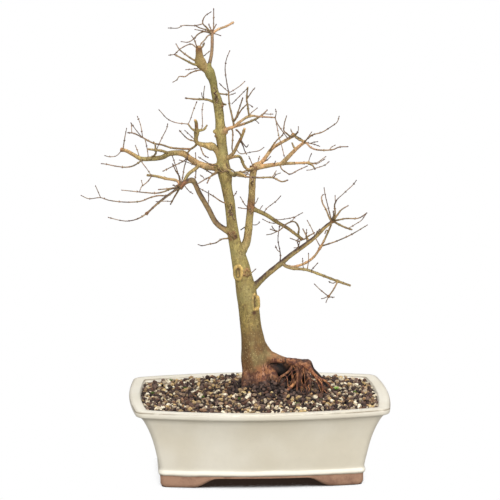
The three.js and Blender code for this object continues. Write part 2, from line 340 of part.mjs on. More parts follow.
// Turns a closed three.js geometry into a solid that can be joined and cut
function solid(geometry) {
  const bare = geometry.clone();
  bare.deleteAttribute("normal");
  bare.deleteAttribute("uv");
  const merged = mergeVertices(bare, 1e-4);
  return new wasm.Manifold(new wasm.Mesh({
    numProp: 3,
    vertProperties: new Float32Array(merged.attributes.position.array),
    triVerts: new Uint32Array(merged.index.array),
  }));
}

// Turns a solid back into a named mesh
function mesh(name, body, color, roughness) {
  const { vertProperties, triVerts } = body.getMesh();
  const geometry = new THREE.BufferGeometry();
  geometry.setAttribute("position", new THREE.BufferAttribute(new Float32Array(vertProperties), 3));
  geometry.setIndex(new THREE.BufferAttribute(new Uint32Array(triVerts), 1));
  geometry.computeVertexNormals();
  const material = new THREE.MeshStandardMaterial({ color, roughness, metalness: 0 });
  const piece = new THREE.Mesh(geometry, material);
  piece.name = name;
  return piece;
}

// A closed barrel whose every vertex is put where place(along, around, out) says: along runs from 0
// to 1, around is an angle, and out is 1 on the skin and 0 on the axis
function barrel(sides, spans, place) {
  const geometry = new THREE.CylinderGeometry(1, 1, 1, sides, spans);
  const spots = geometry.attributes.position;
  for (let i = 0; i < spots.count; i += 1) {
    const out = Math.round(Math.hypot(spots.getX(i), spots.getZ(i)));
    const around = Math.round((Math.atan2(spots.getX(i), spots.getZ(i)) * sides) / (2 * Math.PI));
    const spot = place(0.5 + spots.getY(i), (around * 2 * Math.PI) / sides, out);
    spots.setXYZ(i, spot.x, spot.y, spot.z);
  }
  return geometry;
}

// The largest part of a solid, without loose scraps
function largest(body) {
  const parts = body.decompose();
  parts.sort((a, b) => b.volume() - a.volume());
  return parts[0];
}

// The pot's outline at a flare and an angle, set in or out by a margin
function outline(flare, around, margin) {
  const blend = (key) => THREE.MathUtils.lerp(FOOT_SECTION[key], RIM_SECTION[key], flare);
  const length = blend("halfLength") + margin;
  const width = blend("halfWidth") + margin;
  const corner = Math.max(blend("corner") + margin, 2);
  const straight = new THREE.Vector2(length - corner, width - corner);
  // half the points go to the four corner arcs, and the rest to the four sides
  const turn = ((((around / (2 * Math.PI)) % 1) + 1) % 1) * 4;
  const quarter = Math.floor(turn + 1e-6) % 4;
  const part = (turn - Math.floor(turn + 1e-6)) * 2;
  const signs = [[1, 1], [-1, 1], [-1, -1], [1, -1]];
  const [sx, sy] = signs[quarter];
  const spot = new THREE.Vector2(sx * straight.x, sy * straight.y);
  if (part < 1) {
    const angle = ((quarter + part) * Math.PI) / 2;
    spot.add(new THREE.Vector2(Math.cos(angle), Math.sin(angle)).multiplyScalar(corner));
  } else {
    const [nx, ny] = signs[(quarter + 1) % 4];
    const angle = ((quarter + 1) * Math.PI) / 2;
    spot.lerp(new THREE.Vector2(nx * straight.x, ny * straight.y), part - 1);
    spot.add(new THREE.Vector2(Math.cos(angle), Math.sin(angle)).multiplyScalar(corner));
  }
  const endBow = blend("bowEnds") * (spot.y / width) ** 2;
  const sideBow = blend("bowSides") * (spot.x / length) ** 2;
  return spot.set(spot.x * (1 - endBow / length), spot.y * (1 - sideBow / width));
}

// A solid lofted through sections [height, flare, margin]
function loft(sections) {
  return solid(barrel(SECTION_SIDES, sections.length - 1, (along, around, out) => {
    const [height, flare, margin] = sections[Math.round(along * (sections.length - 1))];
    const spot = outline(flare, around, margin).multiplyScalar(out);
    return new Vector3(spot.x, spot.y, height);
  }));
}

// The sections of the pot's inside, narrowed by a play
function cavity(play) {
  const wall = -WALL - play;
  const mouth = -RIM_WIDTH - play;
  return [
    [FLOOR_TOP + play, -0.05, wall - FLOOR_FILLET], [FLOOR_TOP + FLOOR_FILLET, 0, wall],
    [48, 0.275, wall], [66, 0.575, wall], [RIM_HEIGHT - LIP_DEPTH, 0.95, mouth - 1.5],
    [RIM_HEIGHT + 0.2, 1, mouth], [RIM_HEIGHT + CLEAR_ABOVE, 1, mouth],
  ];
}

// A trapezoid gate under the pot, with eased shoulders, running right through along Y
function gate(size, reach) {
  const shape = new THREE.Shape();
  const ease = (size.bottom - size.top) * 0.45;
  shape.moveTo(-size.bottom, -1);
  shape.lineTo(-size.bottom, 0);
  shape.bezierCurveTo(-size.bottom + ease, 1, -size.top - ease, FOOT_RECESS, -size.top, FOOT_RECESS);
  shape.lineTo(size.top, FOOT_RECESS);
  shape.bezierCurveTo(size.top + ease, FOOT_RECESS, size.bottom - ease, 1, size.bottom, 0);
  shape.lineTo(size.bottom, -1);
  const options = { depth: 2 * reach, bevelEnabled: false, curveSegments: 5 };
  const geometry = new THREE.ExtrudeGeometry(shape, options);
  return geometry.translate(0, 0, -reach).rotateX(Math.PI / 2);
}

function makePot() {
  const outside = FLARE.map(([height, flare]) => [height, flare, 0]);
  let pot = loft(outside).subtract(loft(cavity(0)));
  pot = pot.subtract(solid(gate(FRONT_GATE, GATE_REACH)));
  pot = pot.subtract(solid(gate(END_GATE, GATE_REACH).rotateZ(Math.PI / 2)));
  pot = pot.subtract(loft([[-1, -0.12, -FOOT_WALL], [FOOT_RECESS, -0.12, -FOOT_WALL]]));
  for (const side of [-1, 1]) {
    const drain = new THREE.CylinderGeometry(DRAIN_RADIUS, DRAIN_RADIUS, 3 * FLOOR_TOP, 20);
    pot = pot.subtract(solid(drain.rotateX(Math.PI / 2).translate(side * DRAIN_OFFSET, 0, 0)));
  }
  return pot;
}

// One net square, woven as crossing bars, lying on the pot's floor
function makeScreen(side) {
  const step = (SCREEN_SIDE - SCREEN_BAR) / (SCREEN_BARS - 1);
  const bars = [];
  for (let i = 0; i < SCREEN_BARS; i += 1) {
    const offset = -SCREEN_SIDE / 2 + SCREEN_BAR / 2 + i * step;
    bars.push(solid(new THREE.BoxGeometry(SCREEN_BAR, SCREEN_SIDE, SCREEN_THICK).translate(offset, 0, 0)));
    bars.push(solid(new THREE.BoxGeometry(SCREEN_SIDE, SCREEN_BAR, SCREEN_THICK).translate(0, offset, 0)));
  }
  const middle = FLOOR_TOP + GAP + SCREEN_THICK / 2;
  return wasm.Manifold.union(bars).translate([side * DRAIN_OFFSET, 0, middle]);
}

// A point of the tree's front view as a point in space
function standing(across, up, back) {
  const sin = Math.sin(FRONT_TILT);
  const cos = Math.cos(FRONT_TILT);
  const rise = (up - FRONT_LEVEL) / FRONT_DISTANCE;
  const lift = (rise * (FRONT_DISTANCE + back * cos) - back * sin) / (cos + rise * sin);
  const away = FRONT_DISTANCE - lift * sin + back * cos;
  const spot = new Vector3((across * away) / FRONT_DISTANCE, back, FRONT_LEVEL + lift);
  return spot.applyAxisAngle(new Vector3(0, 0, 1), -FRONT_TURN);
}

// The limbs by name: each holds its way in the front view, its way in space and its radii
const limbs = new Map();

function layOut(name, points, radii) {
  const flat = points.map(([across, up, back]) => new Vector3(across, up, back));
  const inSpace = points.map(([across, up, back]) => standing(across, up, back));
  limbs.set(name, {
    front: new CatmullRomCurve3(flat, false, "centripetal"),
    way: new CatmullRomCurve3(inSpace, false, "centripetal"),
    radii,
    spans: points.length - 1,
  });
}

// The place on a limb's axis that lies nearest to a point of the front view
function nearest(name, across, up) {
  const { front, radii, spans } = limbs.get(name);
  const tries = spans * 8;
  let best = { gap: Infinity };
  for (let i = 0; i <= tries; i += 1) {
    const spot = front.getPoint(i / tries);
    const gap = Math.hypot(spot.x - across, spot.y - up);
    if (gap < best.gap) {
      best = { gap, spot, ring: Math.round((i / tries) * spans) };
    }
  }
  return { ...best, radius: radii[best.ring] };
}

function layOutShoot([name, parent, rootRadius, tipRadius, back, points]) {
  const { spot } = nearest(parent, points[0][0], points[0][1]);
  const last = points.length - 1;
  const placed = points.map(([across, up], i) => [across, up, spot.z + (back * i) / last]);
  placed[0] = [spot.x, spot.y, spot.z];
  const radii = points.map((_, i) => THREE.MathUtils.lerp(rootRadius, tipRadius, i / last));
  layOut(name, placed, radii);
}

function sidesFor(radius) {
  const steps = [[6, 12], [3.4, 7], [1.7, 5], [1.05, 4]];
  const found = steps.find(([least]) => radius >= least);
  return found ? found[1] : 3;
}

// A tapered limb along its way, thickened and lengthened by a margin
function grow(name, margin) {
  const { way, radii, spans } = limbs.get(name);
  const frames = [];
  let tangent = way.getTangent(0);
  let side = new Vector3(0, 1, 0).addScaledVector(tangent, -tangent.y).normalize();
  for (let i = 0; i <= spans; i += 1) {
    const next = way.getTangent(i / spans);
    side = side.applyQuaternion(new THREE.Quaternion().setFromUnitVectors(tangent, next)).normalize();
    tangent = next;
    const spot = way.getPoint(i / spans);
    if (i === 0) {
      spot.addScaledVector(tangent, -margin);
    } else if (i === spans) {
      spot.addScaledVector(tangent, margin);
    }
    frames.push({ spot, side: side.clone(), other: side.clone().cross(tangent) });
  }
  return solid(barrel(sidesFor(radii[0]), spans, (along, around, out) => {
    const ring = Math.round(along * spans);
    const { spot, side: one, other } = frames[ring];
    const radius = (radii[ring] + margin) * out;
    return spot.clone()
      .addScaledVector(one, radius * Math.cos(around))
      .addScaledVector(other, -radius * Math.sin(around));
  }));
}

// A rolled lip of callus round a wound, set into the trunk's front
function makeScar([across, up, halfWidth, halfHeight, callus]) {
  const { spot, radius } = nearest("trunk", across, up);
  const aside = THREE.MathUtils.clamp((across - spot.x) / radius, -0.8, 0.8);
  const lip = new THREE.TorusGeometry(1, callus / halfWidth, 5, 12);
  lip.scale(halfWidth, halfHeight, halfWidth).rotateX(Math.PI / 2).rotateZ(Math.asin(aside));
  const place = standing(across, up, spot.z - radius * Math.sqrt(1 - aside * aside));
  return solid(lip.translate(place.x, place.y, place.z));
}

function makeTree() {
  const pieces = [...limbs.keys()].map((name) => grow(name, 0));
  pieces.push(...SCARS.map(makeScar));
  const stub = standing(SCAR_STUB.across, SCAR_STUB.up, SCAR_STUB.back);
  pieces.push(solid(new THREE.IcosahedronGeometry(SCAR_STUB.radius, 0).translate(stub.x, stub.y, stub.z)));
  return largest(wasm.Manifold.union(pieces));
}

// The soil's surface at a place, before its grains
function soilLevel(x, y) {
  const { height, across, back, length, width } = SOIL_MOUND;
  return SOIL_EDGE + height * Math.exp(-(((x - across) / length) ** 2) - ((y - back) / width) ** 2);
}

// A block of soil as wide as the rim, with grains standing out of its top
function grit() {
  const draw = seeded(GRAIN_SEED);
  const length = 2 * RIM_SECTION.halfLength;
  const width = 2 * RIM_SECTION.halfWidth;
  const columns = Math.round(length / GRAIN_PITCH);
  const rows = Math.round(width / GRAIN_PITCH);
  const block = new THREE.BoxGeometry(length, width, 2, columns, rows, 1);
  const spots = block.attributes.position;
  const tops = new Map();
  for (let i = 0; i < spots.count; i += 1) {
    const x = spots.getX(i);
    const y = spots.getY(i);
    if (spots.getZ(i) < 0) {
      spots.setZ(i, 0);
      continue;
    }
    // the block's faces share their edges, so a place on an edge keeps its first draw
    const key = `${Math.round(x)} ${Math.round(y)}`;
    if (!tops.has(key)) {
      const shift = () => (draw() - 0.5) * GRAIN_PITCH * GRAIN_SHIFT;
      const relief = (2 * draw() - 1) * GRAIN_RELIEF;
      tops.set(key, [x + shift(), y + shift(), soilLevel(x, y) + relief]);
    }
    spots.setXYZ(i, ...tops.get(key));
  }
  return solid(block);
}

function makeSoil(screens) {
  let soil = grit().intersect(loft(cavity(GAP)));
  const rooted = ["trunk", ...ROOTS.map(([name]) => name)];
  soil = soil.subtract(wasm.Manifold.union(rooted.map((name) => grow(name, ROOT_GAP))));
  for (const screen of screens) {
    const { min, max } = screen.boundingBox();
    const seat = new THREE.BoxGeometry(SCREEN_SIDE + 2 * GAP, SCREEN_SIDE + 2 * GAP, 2 * SCREEN_THICK);
    seat.translate((min[0] + max[0]) / 2, (min[1] + max[1]) / 2, min[2] + GAP);
    soil = soil.subtract(solid(seat));
  }
  return largest(soil);
}

layOut("trunk", TRUNK, TRUNK.map(([, , , radius]) => radius));
for (const limb of [...ROOTS, ...SHOOTS]) {
  layOutShoot(limb);
}

for (const [name, across, up, radius] of KNUCKLES) {
  limbs.get(name).radii[nearest(name, across, up).ring] = radius;
}

const bonsai = new THREE.Group();
const screens = [makeScreen(-1), makeScreen(1)];
bonsai.add(mesh("pot", makePot(), COLORS.glaze, 0.3));
bonsai.add(mesh("drain_screen_left", screens[0], COLORS.net, 0.6));
bonsai.add(mesh("drain_screen_right", screens[1], COLORS.net, 0.6));
bonsai.add(mesh("soil", makeSoil(screens), COLORS.grit, 0.95));
bonsai.add(mesh("tree", makeTree(), COLORS.bark, 0.8));

// The origin goes on the ground, under the middle of the whole plant and pot
const middle = new THREE.Box3().setFromObject(bonsai).getCenter(new Vector3());
bonsai.position.set(-middle.x, -middle.y, 0);

export default bonsai;
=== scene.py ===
"""A bare winter trident maple bonsai with exposed roots, in grit soil in a glazed rectangular pot.

The tree's ways are written in millimetres as its front shows them: across from the pot's middle,
up in that front view, and back from the pot's middle line. Everything built is in metres.
"""

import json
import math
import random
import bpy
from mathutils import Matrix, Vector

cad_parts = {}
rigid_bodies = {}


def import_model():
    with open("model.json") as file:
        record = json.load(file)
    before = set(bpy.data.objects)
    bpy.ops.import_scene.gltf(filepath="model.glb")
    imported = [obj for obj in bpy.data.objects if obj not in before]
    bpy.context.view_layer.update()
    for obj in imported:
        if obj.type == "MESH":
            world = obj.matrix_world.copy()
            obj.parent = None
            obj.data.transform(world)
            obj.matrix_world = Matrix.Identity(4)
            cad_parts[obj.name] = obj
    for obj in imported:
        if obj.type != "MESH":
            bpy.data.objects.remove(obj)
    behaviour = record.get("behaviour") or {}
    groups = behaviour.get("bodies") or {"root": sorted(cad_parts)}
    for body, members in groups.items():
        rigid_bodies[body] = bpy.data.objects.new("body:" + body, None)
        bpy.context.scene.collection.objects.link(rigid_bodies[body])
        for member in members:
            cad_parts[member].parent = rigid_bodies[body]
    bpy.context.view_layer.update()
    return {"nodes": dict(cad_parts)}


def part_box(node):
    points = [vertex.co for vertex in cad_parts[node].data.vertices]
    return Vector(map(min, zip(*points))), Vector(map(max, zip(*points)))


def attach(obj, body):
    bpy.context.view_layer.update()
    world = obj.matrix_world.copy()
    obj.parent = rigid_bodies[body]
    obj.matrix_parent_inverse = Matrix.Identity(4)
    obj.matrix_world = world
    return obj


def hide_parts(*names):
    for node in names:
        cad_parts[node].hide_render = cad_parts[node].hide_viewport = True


bl_info = {
    "name": "Trident Maple Bonsai",
    "version": (1, 0, 0),
    "blender": (4, 5, 0),
    "location": "View3D > Sidebar > Bonsai",
    "description": "Builds a bare trident maple bonsai with its roots, grit soil and glazed pot",
    "category": "Add Mesh",
}

import bmesh
import bpy
import numpy as np
from bpy.props import FloatProperty, FloatVectorProperty, IntProperty, PointerProperty
from mathutils import Vector, noise
from mathutils.kdtree import KDTree

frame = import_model()

MM = 0.001
POT_LOW, POT_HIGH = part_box("pot")
POT_MIDDLE = (POT_LOW + POT_HIGH) / 2
POT_PLACE = np.array([POT_MIDDLE.x, POT_MIDDLE.y, 0])
RIM_HEIGHT = POT_HIGH.z / MM
HALF_LENGTH = (POT_HIGH.x - POT_LOW.x) / 2 / MM
HALF_WIDTH = (POT_HIGH.y - POT_LOW.y) / 2 / MM

# Pot, in millimetres: the outline at the foot and how it differs at the rim
FOOT_SHAPE = {"length": HALF_LENGTH - 29.1, "width": HALF_WIDTH - 22.5, "ends": 0, "sides": 9.3, "corner": 5}
RIM_SHAPE = {"length": HALF_LENGTH, "width": HALF_WIDTH, "ends": 5.9, "sides": 18, "corner": 7.7}
# How far the outside has flared, from 0 at the foot to 1 at the rim, under the foot and on the flat rim
SOLE_FLARE = -0.12
RIM_FLARE = 0.955
# How far the outside has flared at each height
FLARE = [
    (0.0, -0.16), (0.35, -0.125), (1.2, -0.085), (3.0, -0.045), (7.0, -0.035), (11.6, -0.03),
    (12.2, -0.005), (13.0, 0.022), (14.4, 0.046), (16.2, 0.036), (17.6, 0.012), (19.2, 0.002),
    (25.0, 0.045), (32.0, 0.11), (40.0, 0.185), (48.0, 0.275), (54.0, 0.36), (60.0, 0.46),
    (65.0, 0.56), (69.0, 0.65), (72.0, 0.745), (73.4, 0.82), (74.0, 0.9), (74.9, 0.962),
    (76.5, 0.99), (78.4, 1.0), (79.6, 0.99), (RIM_HEIGHT, RIM_FLARE),
]
RIM_WIDTH = 10.5
WALL = 7.5
FLOOR_TOP = 15.0
FOOT_RECESS = 9.3
FOOT_WALL = 12.0
FLOOR_FLARE = -0.05
FLOOR_MARGIN = -WALL - 4
SIDE_GATE = {"foot": 69.5, "crown": 44}
END_GATE = {"foot": 40, "crown": 24}
DRAIN_RADIUS = 9.0
DRAIN_OFFSET = 48.0
GLAZE_EDGE = 12.1

# Soil, in millimetres
SOIL_EDGE = 76.5
SOIL_MOUNDS = [
    {"height": 9.0, "across": 12, "back": 20, "length": 82, "width": 66},
    {"height": 9.5, "across": 3, "back": 8, "length": 25, "width": 24},
]

# The front view that the tree is laid out in, in millimetres and radians
FRONT_DISTANCE = 2600
FRONT_TILT = math.radians(10.5)
FRONT_TURN = math.radians(3)
FRONT_LEVEL = 235
# What the photograph's middle is off the aimed point, to the right and up
AIM_RIGHT = -9
AIM_UP = -7.8

FRAME_SIDE = 500
CORNER_POINTS = 9
SIDE_POINTS = 44
END_POINTS = 30
RIM_LINE = 79.7
BED_RINGS = 26
BED_DROP = 2.6
MIN_RADIUS = 0.42
CONTACT_SHADOW = 42
# How far painted shade reaches where surfaces stand close, on the bark and on the grit, in millimetres
BARK_SHADE_REACH = 13
GRIT_SHADE_REACH = 3.6

# Green between the grains, as across and up in the front view
MOSS_SPOTS = [(-106, 83), (-56, 79), (-88, 96), (-20, 77), (62, 76), (96, 84), (38, 72), (-74, 88)]
SEEDLING_SPOT = (77.5, 85.5)

# Trunk and leader: across, up, back, radius
TRUNK = [
    (-1, 57, 10, 10), (-1.5, 73, 10, 14), (-1.5, 85, 10, 15.4), (-1.5, 95, 10, 15), (-2, 106, 10, 14.4),
    (-4, 119, 9, 13.9), (-5.5, 133, 9, 12.2), (-8, 149, 8, 10.7), (-10, 167, 8, 10.4),
    (-12.5, 185, 7, 10.2), (-15.5, 200, 6, 8.8), (-18, 211, 5.5, 8.7), (-20.5, 221, 5, 7.6),
    (-23, 230, 4, 6.4), (-25.5, 242, 3, 5.7), (-27.5, 257, 2, 5.2), (-29.5, 275, 1, 5),
    (-32.5, 291, 0, 5.4), (-34, 302, -1, 7), (-36, 312, -1, 6.6), (-36, 320, -2, 5.4),
    (-37, 331, -2, 4.9), (-38.5, 343, -3, 5.3), (-39, 355, -3, 4.6), (-40, 366, -4, 4.7),
    (-41.5, 375.5, -4, 4.7), (-44.5, 386, -5, 3.7), (-46, 395.5, -5, 3.9), (-49.5, 404.5, -6, 5.2),
    (-52.5, 411, -6, 4),
]

# Web of bark in the bend between the trunk and the root arch: across, up, back, radius
WEB = [(1, 142, 9, 3), (2.9, 135.9, 9, 3), (7.3, 128.1, 9, 3), (12.2, 122.6, 9, 3), (20.2, 119.2, 8.5, 2.8)]

# Roots, limbs and twigs: name, what it grows from, radius at its root and at its tip, how far its tip
# lies behind its root, and its way. Each one starts on the axis of what it grows from.
ROOTS = [
    ("root_arch", "trunk", 9, 2.6, -1, [(-5, 125), (4, 122), (12, 120), (20, 118.2), (28, 117.3)]),
    ("root_head", "root_arch", 2.8, 4.6, -2, [(28, 117.3), (34, 115.2), (42, 113.8), (48, 111)]),
    ("root_back", "root_head", 3.4, 1.6, 16, [(41, 115.5), (49, 115), (53, 108), (60, 101), (69, 90)]),
    ("root_a", "root_head", 3.2, 1.3, -8, [(44, 114), (50, 110), (54, 104), (59, 98), (66, 88)]),
    ("root_b", "root_head", 3.0, 1.7, -14, [(45, 112), (48, 104), (51, 97), (49.5, 83)]),
    ("root_c", "root_head", 3.8, 2.6, -6, [(40, 113), (41, 104), (39.5, 96), (39, 85)]),
    ("root_d", "root_head", 1.6, 1.1, -16, [(37, 114.5), (38, 109), (38.5, 100.5), (38, 86)]),
    ("root_e", "root_head", 1.5, 1.0, -12, [(34, 114.5), (32, 109), (27.5, 104), (19, 98), (13, 87)]),
    ("root_f", "root_head", 1.5, 1.0, -10, [(32, 114.5), (33, 106), (34, 96.5), (33, 86)]),
    ("root_g", "root_c", 2.0, 1.2, -22, [(40, 98), (33, 91), (25.5, 83.5), (21, 76)]),
    ("root_i", "root_head", 2.6, 1.4, 18, [(38, 114), (41, 106), (46, 98), (47, 88)]),
    ("root_j", "root_arch", 3.0, 1.7, 16, [(27, 115.5), (26, 108), (22, 99), (19, 87)]),
    ("root_k", "root_arch", 2.6, 1.7, 10, [(17, 116.5), (14, 107), (16, 88)]),
    ("root_m", "root_head", 3.4, 2.6, 20, [(30, 115.5), (27, 107), (30, 96), (32, 86)]),
    ("root_l", "root_a", 1.3, 0.9, 6, [(55, 102), (61, 99), (68, 95), (74, 87)]),
    ("buttress_a", "trunk", 8, 2.8, -15, [(-7, 117), (-10, 105), (-13, 94), (-14, 80)]),
    ("buttress_b", "trunk", 8, 2.8, -19, [(0, 115), (3, 103), (7, 92), (9, 77)]),
    ("buttress_c", "trunk", 6.5, 3, 15, [(-8, 115), (-11, 104), (-14, 89)]),
    ("buttress_d", "trunk", 7.5, 2.8, -8, [(3, 115), (10, 105), (17, 95), (24, 82)]),
    ("buttress_e", "trunk", 7, 2.6, 19, [(1, 115), (10, 104), (17, 89)]),
    ("buttress_f", "trunk", 6.5, 2.6, 23, [(-4, 115), (-5, 105), (-7, 91)]),
    ("buttress_g", "trunk", 5.5, 2.6, 4, [(-9, 113), (-11.5, 103), (-14, 89)]),
    ("buttress_h", "trunk", 7.5, 6, 22, [(4, 113), (16, 109), (30, 106), (42, 101), (50, 92)]),
]
